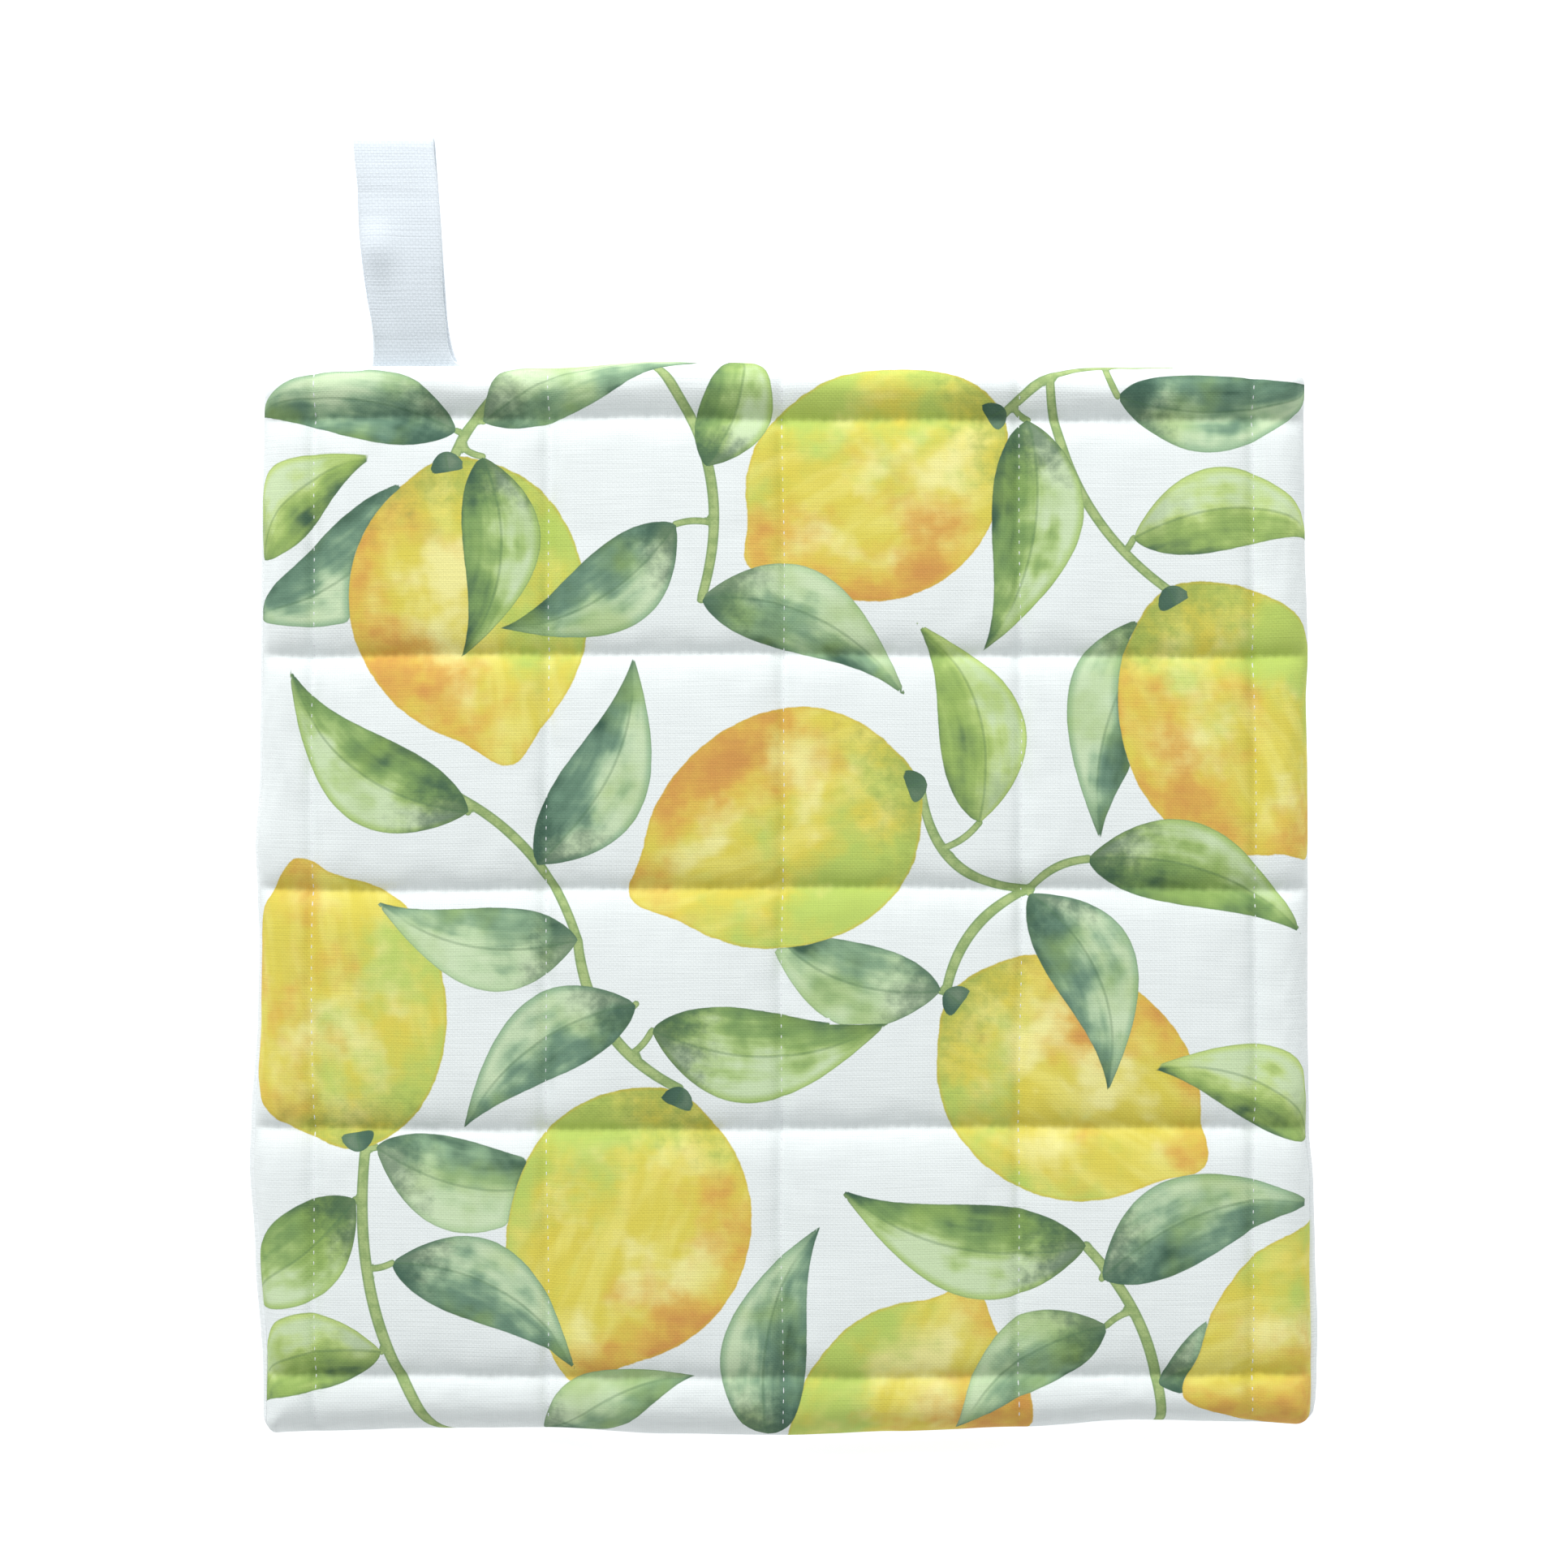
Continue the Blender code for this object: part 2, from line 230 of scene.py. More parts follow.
def puff(x, y):
    """How much the filling under this cell of the quilting differs from its neighbours."""
    column, row = np.searchsorted(COLUMN_X, x), np.searchsorted(ROW_Y, y)
    dome = rise(nearest(x, COLUMN_X), HALF_CELL) * rise(nearest(y, ROW_Y), HALF_CELL)
    return PUFF_VARIATION * dome * (1 + np.sin(2.3 * column + 1.7 * row))


def pad_height(x, y):
    """Height of the quilted face before the edge is rounded off."""
    beyond_top, beyond_bottom = np.maximum(y - ROW_Y[-1], 0), np.maximum(ROW_Y[0] - y, 0)
    height = CROWN_Z + puff(x, y) + TOP_FULLNESS * (1 - bell(beyond_top, TOP_REACH))
    height = height - BOTTOM_DROOP * beyond_bottom**2
    return height - ROW_DEPTH * drawn_in(y, ROW_Y) - COLUMN_DEPTH * drawn_in(x, COLUMN_X)


across_row = pad_height(np.zeros(5) + 20.0, 1.9 + np.array([0.0, 1.0, 3.0, 6.0, 20.0]))
print("height at 0, 1, 3, 6 and 20 mm from a sewn row:", across_row.round(2))

# %% [markdown]
# ## Swell the front with a cloth simulation
#
# The plain profile above is the same all along a line, but real quilting swells: the filling
# pushes, the thread holds, and the cloth finds its own shape between them. Blender's cloth
# simulation does that well. A coarse copy of the front is pinned along the sewn lines and the
# edge. A little pressure stands for the filling, and a little extra cloth for the fullness that
# the gathering leaves. The real pad is firm, so only a part of the movement is kept, and added to
# the fine cloth later.

# %% Mesh lines of the coarse copy
CELL_STEPS = (0, .025, .06, .105, .165, .24, .33, .42, .5, .58, .67, .76, .835, .895, .94, .975)
EDGE_STEPS = (0, .05, .13, .25, .40, .56, .72, .86, .95)


def coarse_lines(half, sewn):
    first, last = sewn[0] + half, half - sewn[-1]
    lines = [-half + step * first for step in EDGE_STEPS]
    for start, end in zip(sewn, sewn[1:]):
        lines += [start + step * (end - start) for step in CELL_STEPS]
    return np.array(lines + [sewn[-1]] + [half - step * last for step in reversed(EDGE_STEPS)])


coarse_x, coarse_y = coarse_lines(HALF_WIDTH, COLUMN_X), coarse_lines(HALF_HEIGHT, ROW_Y)
print("coarse copy:", len(coarse_x), "by", len(coarse_y), "lines")


# %% A grid whose lines lie where they are wanted
def cloth_grid(columns, rows):
    """A flat grid from the operator, and the column and row number of each of its points."""
    bm = bmesh.new()
    bmesh.ops.create_grid(bm, x_segments=len(columns) - 1, y_segments=len(rows) - 1, size=1)
    unit = np.array([point.co[:2] for point in bm.verts])
    column = np.rint((unit[:, 0] + 1) / 2 * (len(columns) - 1)).astype(int)
    row = np.rint((unit[:, 1] + 1) / 2 * (len(rows) - 1)).astype(int)
    return bm, column, row


def set_points(bm, places):
    """Moves every point of the grid to its place on the pad, given in millimetres."""
    for point, place in zip(bm.verts, (places + np.array(PAD_MIDDLE)) * MM):
        point.co = place


def add_object(name, data):
    """A new object of the scene that shows a mesh, a lamp or a camera."""
    added = bpy.data.objects.new(name, data)
    bpy.context.scene.collection.objects.link(added)
    return added


def new_piece(name, bm):
    """The finished mesh as an object, smoothly shaded."""
    mesh = bpy.data.meshes.new(name)
    bm.to_mesh(mesh)
    bm.free()
    mesh.shade_smooth()
    return add_object(name, mesh)


# %% Pin the sewn lines, fill the pad and let it settle
PRESSURE, EXTRA_CLOTH = 6.0, 0.014
STIFFNESS, BENDING = 15, 0.02
FRAMES = 16
SEWN_EDGE_Z = 2.7
SWELL_KEPT, SWELL_LIMIT = 0.18, 0.4


def swollen_pad():
    """How far the cloth moves at every crossing of the coarse lines, in millimetres."""
    bm, column, row = cloth_grid(coarse_x, coarse_y)
    x, y = coarse_x[column], coarse_y[row]
    edge = np.minimum(HALF_WIDTH - np.abs(x), HALF_HEIGHT - np.abs(y))
    height = SEWN_EDGE_Z + (pad_height(x, y) - SEWN_EDGE_Z) * rim(edge, ROLL_WIDTH)
    set_points(bm, np.stack([x, y, height], axis=1))
    pad = new_piece("swelling_copy", bm)
    held = np.isin(x, COLUMN_X) | np.isin(y, ROW_Y) | (edge <= 0)
    pad.vertex_groups.new(name="held").add(np.flatnonzero(held).tolist(), 1.0, "REPLACE")
    cloth = pad.modifiers.new("swell", "CLOTH").settings
    cloth.vertex_group_mass = "held"
    cloth.tension_stiffness = cloth.compression_stiffness = STIFFNESS
    cloth.bending_stiffness = BENDING
    cloth.use_pressure, cloth.uniform_pressure_force = True, PRESSURE
    cloth.shrink_min = cloth.shrink_max = -EXTRA_CLOTH
    cloth.effector_weights.gravity = 0
    for number in range(1, FRAMES + 1):
        bpy.context.scene.frame_set(number)
    settled = pad.evaluated_get(bpy.context.evaluated_depsgraph_get()).data.vertices
    move = np.array([after.co - before.co for after, before in zip(settled, pad.data.vertices)])
    bpy.data.objects.remove(pad, do_unlink=True)
    bpy.context.scene.frame_set(1)
    result = np.zeros((len(coarse_x), len(coarse_y), 3))
    result[column, row] = move / MM
    return result


swell = swollen_pad()
far = np.linalg.norm(swell, axis=2, keepdims=True)
print("largest swelling, mm:", round(float(far.max()), 2))
swell = swell * SWELL_LIMIT * np.tanh(far * SWELL_KEPT / SWELL_LIMIT) / np.maximum(far, 1e-6)

# %% [markdown]
# ## The printed front
#
# The real piece is a square of printed cotton over thick filling. It is made as a fine grid,
# half a millimetre from column to column so that four points fall on every stitch. The profile,
# the swelling, the dimples of the needle holes and the small puckers beside them are added
# together, and the underside is closed at the seam.


# %% Mesh lines of the fine cloth
def lines_between(start, end, near_start, near_end, step):
    """Lines from start up to end: close together near the two ends and even in between."""
    low, high = start + near_start[-1], end - near_end[-1]
    middle = np.linspace(low, high, max(1, round((high - low) / step)) + 1)[1:-1]
    return [start + gap for gap in near_start] + list(middle) + [end - gap for gap in near_end[:0:-1]]


def cloth_lines(half, sewn, near_edge, near_sewn, border_step, cell_step):
    """Lines across the whole cloth, from edge to edge."""
    lines = lines_between(-half, sewn[0], near_edge, near_sewn, border_step)
    for start, end in zip(sewn, sewn[1:]):
        lines += lines_between(start, end, near_sewn, near_sewn, cell_step)
    return np.array(lines + lines_between(sewn[-1], half, near_sewn, near_edge, border_step) + [half])


NEAR_EDGE = (0, .12, .35, .7, 1.2, 1.9, 2.8, 3.9, 5.2)
NEAR_SEWN = (0, .3, .7, 1.2, 1.8, 2.6, 3.6, 4.8)
EVEN_HALF, ROW_STEP = 99.0, 1.25
even = np.arange(-EVEN_HALF, EVEN_HALF + 0.01, STITCH / 4)
outer = HALF_WIDTH - np.array(NEAR_EDGE[:5])
front_x = np.concatenate([-outer, even, outer[::-1]])
for line in COLUMN_X:
    front_x[np.argmin(np.abs(front_x - line))] = line
front_y = cloth_lines(HALF_HEIGHT, ROW_Y, NEAR_EDGE, NEAR_SEWN, ROW_STEP, ROW_STEP)
print("front:", len(front_x), "by", len(front_y), "lines")


# %% Read the coarse swelling on the fine lines
def on_smooth_curve(lines, values, at):
    """Values given on uneven lines, read at other places on a smooth curve through them."""
    slopes = np.gradient(values, lines, axis=0)
    k = np.clip(np.searchsorted(lines, at, side="right") - 1, 0, len(lines) - 2)
    step = (lines[k + 1] - lines[k])[:, None, None]
    s = (at - lines[k])[:, None, None] / step
    start = (2 * s**3 - 3 * s**2 + 1) * values[k] + (s**3 - 2 * s**2 + s) * step * slopes[k]
    return start + (3 * s**2 - 2 * s**3) * values[k + 1] + (s**3 - s**2) * step * slopes[k + 1]


over_columns = on_smooth_curve(coarse_x, swell, front_x)
front_swell = on_smooth_curve(coarse_y, over_columns.swapaxes(0, 1), front_y).swapaxes(0, 1)
print("mean swelling on the fine cloth, mm:", front_swell.mean(axis=(0, 1)).round(3))


# %% Needle holes and puckers
ROW_DIVE, COLUMN_DIVE, HOLE_DEPTH = 0.12, 0.6, 0.26
ROW_DIVE_WIDTH, COLUMN_DIVE_WIDTH, HOLE_LENGTH, HOLE_WIDTH = 0.8, 1.3, 0.6, 0.9
ROW_PUCKER, COLUMN_PUCKER = 0.09, 0.05
PUCKER_START, ROW_PUCKER_REACH, COLUMN_PUCKER_REACH = 0.8, 2.6, 2.4


def sewn_dimples(x, y):
    """How far thread and needle holes pull the cloth in, close to the sewn lines."""
    from_row, from_column = nearest(y, ROW_Y), nearest(x, COLUMN_X)
    to_hole = (x / STITCH - np.rint(x / STITCH)) * STITCH
    dive = ROW_DIVE * bell(from_row, ROW_DIVE_WIDTH) + COLUMN_DIVE * bell(from_column, COLUMN_DIVE_WIDTH)
    return dive + HOLE_DEPTH * bell(to_hole, HOLE_LENGTH) * bell(from_row, HOLE_WIDTH)


def beside(distance, reach):
    """0 on a sewn line, highest close beside it, then fading out over its reach."""
    return np.exp(-distance / reach) * np.minimum(distance / PUCKER_START, 1)


def puckers(x, y):
    """Short wrinkles that leave the stitching where the cloth is gathered."""
    row, column = np.searchsorted(ROW_Y, y), np.searchsorted(COLUMN_X, x)
    by_row = np.sin(x / 0.74 + 2.1 * np.sin(x / 7.7 + row) + 2 * row)
    by_row = by_row * (0.6 + 0.4 * np.sin(x / 13 + 3 * row)) * beside(nearest(y, ROW_Y), ROW_PUCKER_REACH)
    by_column = np.sin(y / 0.85 + 2.0 * np.sin(y / 8.9 + column) + 2 * column)
    by_column = by_column * beside(nearest(x, COLUMN_X), COLUMN_PUCKER_REACH)
    return ROW_PUCKER * by_row + COLUMN_PUCKER * by_column


print("deepest dimple, mm:", round(float(sewn_dimples(np.zeros(1), np.array([1.9]))[0]), 2))

# %% Put the front together
TAPE_LEFT, TAPE_RIGHT = -78.8, -62.2
TAPE_LIFT, TAPE_REACH, TAPE_RAMP = 2.7, 8.6, 1.6
SEAM_LEVEL, TURNED_IN = 2.0, 0.96
CALM_EDGE = 2.0


def over_tape(x, y):
    """1 where the front passes over the tape at the top edge, 0 away from it."""
    from_middle = np.abs(x - (TAPE_LEFT + TAPE_RIGHT) / 2)
    across = np.clip((TAPE_REACH + TAPE_RAMP - from_middle) / TAPE_RAMP, 0, 1)
    return np.where(y > 0, soft_ends(across), 0)


def front_places(column, row):
    """Where the front's points lie, for the fine lines with these numbers."""
    x, y = front_x[column], front_y[row]
    plan_x, plan_y, edge = round_corner(x, y)
    height = pad_height(x, y) - BORDER_DROP * np.clip(1 - edge / BORDER, 0, 1)
    height = height - (sewn_dimples(x, y) - puckers(x, y)) * np.clip(edge / CALM_EDGE, 0, 1)
    side_peep = peep(x, y)
    foot = seam_height(side_peep) + TAPE_LIFT * over_tape(x, y)
    height = foot + (height - foot) * rim(edge, ROLL_WIDTH)
    plan_x, plan_y = uneven_edge(plan_x, plan_y, side_peep)
    plan_x, plan_y = sewing_wander(plan_x, plan_y, edge)
    return np.stack([plan_x, plan_y, height], axis=-1) + front_swell[column, row]


front_bm, front_column, front_row = cloth_grid(front_x, front_y)
set_points(front_bm, front_places(front_column, front_row))
front_edges = [edge for edge in front_bm.edges if edge.is_boundary]
for edge in front_edges:
    edge.smooth = False
grid_faces = len(front_bm.faces)
turned_in = bmesh.ops.extrude_edge_only(front_bm, edges=front_edges)["geom"]
inner_points = [item for item in turned_in if isinstance(item, bmesh.types.BMVert)]
bmesh.ops.scale(front_bm, vec=(TURNED_IN, TURNED_IN, 1), verts=inner_points,
                space=Matrix.Translation(-PAD_MIDDLE * MM))
for point in inner_points:
    point.co.z = SEAM_LEVEL * MM
inner_edges = [item for item in turned_in if isinstance(item, bmesh.types.BMEdge)]
bmesh.ops.contextual_create(front_bm, geom=[edge for edge in inner_edges if edge.is_boundary])
bmesh.ops.recalc_face_normals(front_bm, faces=front_bm.faces[:])
front = new_piece("front_cloth", front_bm)
print("front faces:", len(front.data.polygons), "of which the grid has", grid_faces)

# %% [markdown]
# ## Laying the cloth flat
#
# A print and a weave belong to the flat cloth, before the quilting draws it in. The front's UV
# map is therefore the flat cloth itself: each point's place is measured along the surface, down
# into every channel and up again, so part of each motif disappears there as on the real pad.

# %% The front's flat cloth as its UV map
UV_PER_METRE = 4.0


def travelled(*axes):
    """Distance travelled at each point of a path, given by its coordinates."""
    return np.concatenate([[0], np.cumsum(np.sqrt(sum(np.diff(axis) ** 2 for axis in axes)))])


def length_along(lines, heights):
    """Distance along the cloth from the middle line, over its ups and downs."""
    total = travelled(lines, heights)
    return total - np.interp(0, lines, total)


MID_CELL_X, MID_CELL_Y = 22.0, 24.0
rim_x, rim_y = rim(HALF_WIDTH - abs(front_x), ROLL_WIDTH), rim(HALF_HEIGHT - abs(front_y), ROLL_WIDTH)
flat_x = length_along(front_x, pad_height(front_x, np.full_like(front_x, MID_CELL_Y)) * rim_x)
flat_y = length_along(front_y, pad_height(np.full_like(front_y, MID_CELL_X), front_y) * rim_y)
print("flat front, mm:", round(flat_x[-1] - flat_x[0], 1), "by", round(flat_y[-1] - flat_y[0], 1))


def set_uv(piece, flat):
    """Gives the piece a UV map from the flat place of each face corner, in millimetres."""
    layer = piece.data.uv_layers.new(name="flat_cloth")
    layer.data.foreach_set("uv", (flat * MM * UV_PER_METRE + 0.5).astype(np.float32).ravel())


def corner_points(piece):
    points = np.empty(len(piece.data.loops), dtype=np.int32)
    piece.data.loops.foreach_get("vertex_index", points)
    return points


front_corners = corner_points(front)
grid_flat = np.stack([flat_x[front_column], flat_y[front_row]], axis=1)
inner_flat = [(point.co / MM - PAD_MIDDLE)[:2] for point in front.data.vertices[len(grid_flat):]]
front_flat = np.concatenate([grid_flat, inner_flat])[front_corners]
set_uv(front, front_flat)

# %% [markdown]
# ## The print's motifs
#
# The cloth is printed with lemons, leaves and twigs in watercolour. Such a print could be an
# image, but here each motif is a row in a table, its outline is a formula, and the paint is made
# by nodes at any sharpness. Places are in millimetres on the flat cloth, and turns in degrees.

# %% Lemons: middle, turn from stem to tip, length, width, tone
LEMONS = (
    (-60, 57, -80, 58, 49, 0.10), (18, 81, -150, 56, 48, 0.55), (87, 35, -62, 58, 50, 0.80),
    (0, 13, 200, 57, 49, 0.30), (-86, -21, 100, 56, 48, 0.65), (54, -35, -36, 57, 48, 0.05),
    (-30, -63, -112, 58, 50, 0.45), (24, -103, 62, 57, 49, 0.90), (106, -86, 196, 56, 50, 0.25),
)

# %% Leaves: base, turn from base to tip, length, width, bow, tone from 0 to 3
FRONT_LEAVES = (
    (-63, 90, 172, 46, 17, -.1, 0), (-58, 92, 22, 46, 18, .1, 2), (-58, 85, -92, 40, 15, .12, 1),
    (-104, 66, 40, 33, 15, .1, 3), (-21, 72, -146, 40, 16, .1, 0), (-16, 58, -22, 45, 17, .12, 2),
    (-15, 83, 76, 33, 14, -.1, 1), (47, 93, -98, 47, 18, .1, 1), (64, 98, 2, 46, 17, -.1, 0),
    (67, 70, 3, 42, 16, .12, 3), (37, 15, 103, 42, 17, -.12, 3), (47, 1, -64, 42, 17, .12, 0),
    (58, 8, -16, 46, 17, .1, 1), (-60, 17, 146, 46, 17, .12, 1), (-47, 7, 62, 45, 17, -.1, 0),
    (-39, -8, 172, 41, 16, .1, 2), (-28, -20, 212, 42, 16, -.1, 0), (-25, -25, -2, 47, 18, -.1, 1),
    (-82, -58, 212, 40, 17, .1, 1), (-75, -70, -26, 42, 16, .12, 0), (-77, -87, 196, 42, 16, -.1, 3),
    (-3, -106, 80, 46, 17, .1, 0), (58, -67, 170, 50, 18, .1, 1), (62, -82, 214, 38, 15, -.1, 2),
    (61, -73, 22, 46, 17, .1, 0), (106, -46, 156, 40, 16, -.1, 3), (-46, -108, 33, 34, 14, .1, 2),
)
LEAVES_BEHIND = (
    (-66, 80, 214, 51, 19, .1, 0), (75, 56, -112, 48, 19, -.1, 0), (-78, -48, -8, 44, 18, -.12, 2),
    (72, -94, 8, 42, 17, .12, 0), (30, -18, 160, 40, 16, .12, 2),
)

# %% Twigs: start, end, bow, width
TWIGS = (
    (-64, 83, -42, 108, .1, 2.2), (-28, 108, -16, 58, .14, 2.2), (42, 94, 74, 108, .12, 2.2),
    (74, 60, 51, 101, .12, 2), (26, 22, 47, 2, -.22, 2.2), (31, -18, 47, 2, .14, 2.2),
    (47, 2, 58, 8, .12, 1.8), (-20, -36, -39, -8, .14, 2.3), (-39, -8, -62, 20, -.1, 2),
    (-80, -48, -64, -108, -.1, 2.3), (72, -108, 58, -67, -.12, 2.2),
)


# %% [markdown]
# Every outline is a function that says, for any place on the flat cloth, how far it lies along
# and across the motif and how far inside its edge. A lemon is an oval with a nipple at the tip,
# a leaf is a bowed spindle with a long thin tip, and a twig is a bowed line.


# %% Outlines of the motifs
LEAF_TIP_CUT, LEAF_END_CUT = 0.35, 0.3


def turned(flat, x, y, turn):
    """Flat places as distances along and across a motif that starts at x, y."""
    angle = math.radians(turn)
    dx, dy = flat[..., 0] - x, flat[..., 1] - y
    return dx * math.cos(angle) + dy * math.sin(angle), dy * math.cos(angle) - dx * math.sin(angle)


def lemon_outline(flat, x, y, turn, length, width, tone):
    along, across = turned(flat, x, y, turn)
    p, q = along / length * 2, across / width * 2
    angle = np.arctan2(q, p)
    reach = 0.93 + 0.17 * bell(angle - 0.08, 0.22)
    reach = reach + 0.05 * bell(np.abs(angle) - np.pi, 0.3) + 0.02 * np.sin(3 * angle + 6 * tone)
    side = 1 if round(tone * 20) % 2 else -1
    return np.stack([along, across * side, (reach - np.hypot(p, q)) * width / 2], axis=-1)


def leaf_outline(flat, x, y, turn, length, width, bow, tone):
    along, across = turned(flat, x, y, turn)
    share = np.clip(along / length, 0, 1)
    across = across - bow * length * (4 * share * (1 - share) - 0.8 * share**3)
    edge = width / 2 * np.sin(np.pi * share**0.68) ** 1.15 - np.abs(across) - LEAF_TIP_CUT * share**6
    beyond = np.maximum(-along, along - length)
    edge = np.where(beyond > 0, -LEAF_END_CUT - np.hypot(beyond, across), edge)
    return np.stack([along / length, across * (1 if bow > 0 else -1), edge], axis=-1)


def twig_outline(flat, x, y, to_x, to_y, bow, width):
    length = math.hypot(to_x - x, to_y - y)
    along, across = turned(flat, x, y, math.degrees(math.atan2(to_y - y, to_x - x)))
    share = np.clip(along / length, 0, 1)
    across = across - bow * length * 4 * share * (1 - share)
    beyond = np.clip(np.maximum(-along, along - length), 0, None)
    edge = width / 2 - np.hypot(beyond, across)
    return np.stack([beyond / width * 2, across / width * 2, edge], axis=-1)


tip = lemon_outline(np.array([[20.0, 0.0]]), 0, 0, 0, 58, 49, 0.1)
print("20 mm up a lemon's middle line, its edge is", tip[0, 2].round(1), "mm away")

# %% [markdown]
# Leaves and lemons hang on their twigs by short stalks, and a small dark cap holds each lemon. A
# cap is a bent oval at the stem end. A stalk runs from a leaf's base or a cap to the nearest point
# of any twig that is near enough.


# %% Stalks and caps
CAP_PLACE, CAP_SIZE = -0.47, 6.4
STALK_GAPS, STALK_BOW, STALK_WIDTH = (0.8, 16), 0.08, 1.4


def twig_points(x, y, to_x, to_y, bow, width):
    share = np.linspace(0, 1, 40)[:, None]
    chord = np.array([to_x - x, to_y - y])
    side = np.array([-chord[1], chord[0]])
    return np.array([x, y]) + chord * share + side * bow * 4 * share * (1 - share)


def cap_outline(flat, x, y, turn, size, tone):
    """A dark oval cap that clasps the lemon, painted as the base of a leaf."""
    along, across = turned(flat, x, y, turn)
    edge = size / 2 - np.hypot((along - across**2 / 9) * 1.6, across)
    return np.stack([along * 0, across, edge], axis=-1)


all_twig_points = np.concatenate([twig_points(*twig) for twig in TWIGS])
CAPS = ()
for x, y, turn, length, *_ in LEMONS:
    away, angle = CAP_PLACE * length, math.radians(turn)
    CAPS += ((x + away * math.cos(angle), y + away * math.sin(angle), turn, CAP_SIZE, 0),)
stalks = []
for base in [leaf[:2] for leaf in FRONT_LEAVES + LEAVES_BEHIND + CAPS]:
    gaps = np.linalg.norm(all_twig_points - np.array(base), axis=1)
    if STALK_GAPS[0] < gaps.min() < STALK_GAPS[1]:
        stalks.append((*base, *all_twig_points[gaps.argmin()], STALK_BOW, STALK_WIDTH))
print(len(CAPS), "caps and", len(stalks), "stalks")

# %% [markdown]
# The nodes read these distances from attributes of the face corners. Every face belongs to one
# motif of each kind, the one that covers its middle best, so that inside a face the distances are
# smooth and the painted edges stay sharp, even where two leaves meet. Twigs run into each other,
# so their joined outline is stored as well.

# %% Choose a motif for every face and store its distances
face_corners = front_flat[: grid_faces * 4].reshape(grid_faces, 4, 2)
face_middles = face_corners.mean(axis=1)
LAP_OVER_LEMON = 0.25


def store(name, kind, values, outside):
    """An attribute on the front's face corners. The underside gets the value for outside."""
    slot = {"FLOAT_VECTOR": "vector", "FLOAT": "value"}[kind]
    padding = np.tile(outside, (len(front_corners) - grid_faces * 4, 1))
    full = np.concatenate([values.reshape(grid_faces * 4, -1), padding]).astype(np.float32)
    front.data.attributes.new(name, kind, "CORNER").data.foreach_set(slot, full.ravel())


def store_motifs(name, motifs, hidden=None):
    """Stores the distances of one layer of motifs, given as outlines and table rows. hidden says
    where a motif is covered. Gives the number of each face's motif."""
    at_middle = np.stack([outline(face_middles, *motif)[..., 2] for outline, motif in motifs])
    if hidden:
        at_middle = np.stack([hidden(n, edge, face_middles) for n, edge in enumerate(at_middle)])
    choice = at_middle.argmax(axis=0)
    places = np.zeros((grid_faces, 4, 3))
    for n, (outline, motif) in enumerate(motifs):
        own = choice == n
        places[own] = outline(face_corners[own], *motif)
        if hidden:
            places[own, :, 2] = hidden(n, places[own][..., 2], face_corners[own])
    store(name, "FLOAT_VECTOR", places, (9, 9, -9))
    print(name, "motifs cover", round((at_middle.max(axis=0) > 0).mean(), 2), "of the front")
    return choice


def behind_lemons(n, edge, flat):
    """Leaves from the second table end just over a lemon's edge, where the lemon covers them."""
    if n < len(FRONT_LEAVES + CAPS):
        return edge
    in_lemon = np.max([lemon_outline(flat, *lemon)[..., 2] for lemon in LEMONS], axis=0)
    return np.minimum(edge, LAP_OVER_LEMON - in_lemon)


def motifs_of(outline, table):
    return [(outline, motif) for motif in table]


twig_motifs = motifs_of(twig_outline, TWIGS + tuple(stalks))
leaf_motifs = motifs_of(leaf_outline, FRONT_LEAVES) + motifs_of(cap_outline, CAPS)
leaf_motifs += motifs_of(leaf_outline, LEAVES_BEHIND)
store_motifs("lemon", motifs_of(lemon_outline, LEMONS))
store_motifs("twig", twig_motifs)
joined = np.max([twig_outline(face_corners, *twig)[..., 2] for _, twig in twig_motifs], axis=0)
store("twigs", "FLOAT", joined, (-9,))
chosen_leaves = store_motifs("leaf", leaf_motifs, behind_lemons)
leaf_tones = np.array([leaf[-1] for _, leaf in leaf_motifs])[chosen_leaves]
store("leaf_tone", "FLOAT", np.repeat(leaf_tones, 4), (0,))

# %% [markdown]
# ## The white back
#
# The back is one plain square of white cotton, a grid too. It lies flat on the table between
# shallow grooves, and its border is drawn up a little where the pad's edge rolls. Its last rows
# of points follow a small circle round the edge and up to the seam, which is the sliver of white
# seen from above. A Solidify modifier gives the cloth its thickness.

# %% Shape of the back
BACK_GROOVE, GROOVE_HALF_WIDTH, GROOVE_START = 1.0, 4.0, 2.0
ROLL_SPAN = 3.0
CLOTH_THICKNESS = 0.45
LIFT_START, LIFT_WIDTH = BORDER + 1, 3.0


def inward(x, y, plan_x, plan_y):
    """The direction from each point's nearest edge towards the pad."""
    radius = corner_radius(x, y)
    to_x = np.abs(plan_x) - (HALF_WIDTH - radius)
    to_y = np.abs(plan_y) - (HALF_HEIGHT - radius)
    in_corner = (to_x > 0) & (to_y > 0)
    far = np.maximum(np.hypot(to_x, to_y), 1e-9)
    side_first = HALF_WIDTH - np.abs(x) <= HALF_HEIGHT - np.abs(y)
    by_x = np.where(in_corner, to_x / far, side_first)
    by_y = np.where(in_corner, to_y / far, ~side_first)
    return -np.sign(x) * by_x, -np.sign(y) * by_y


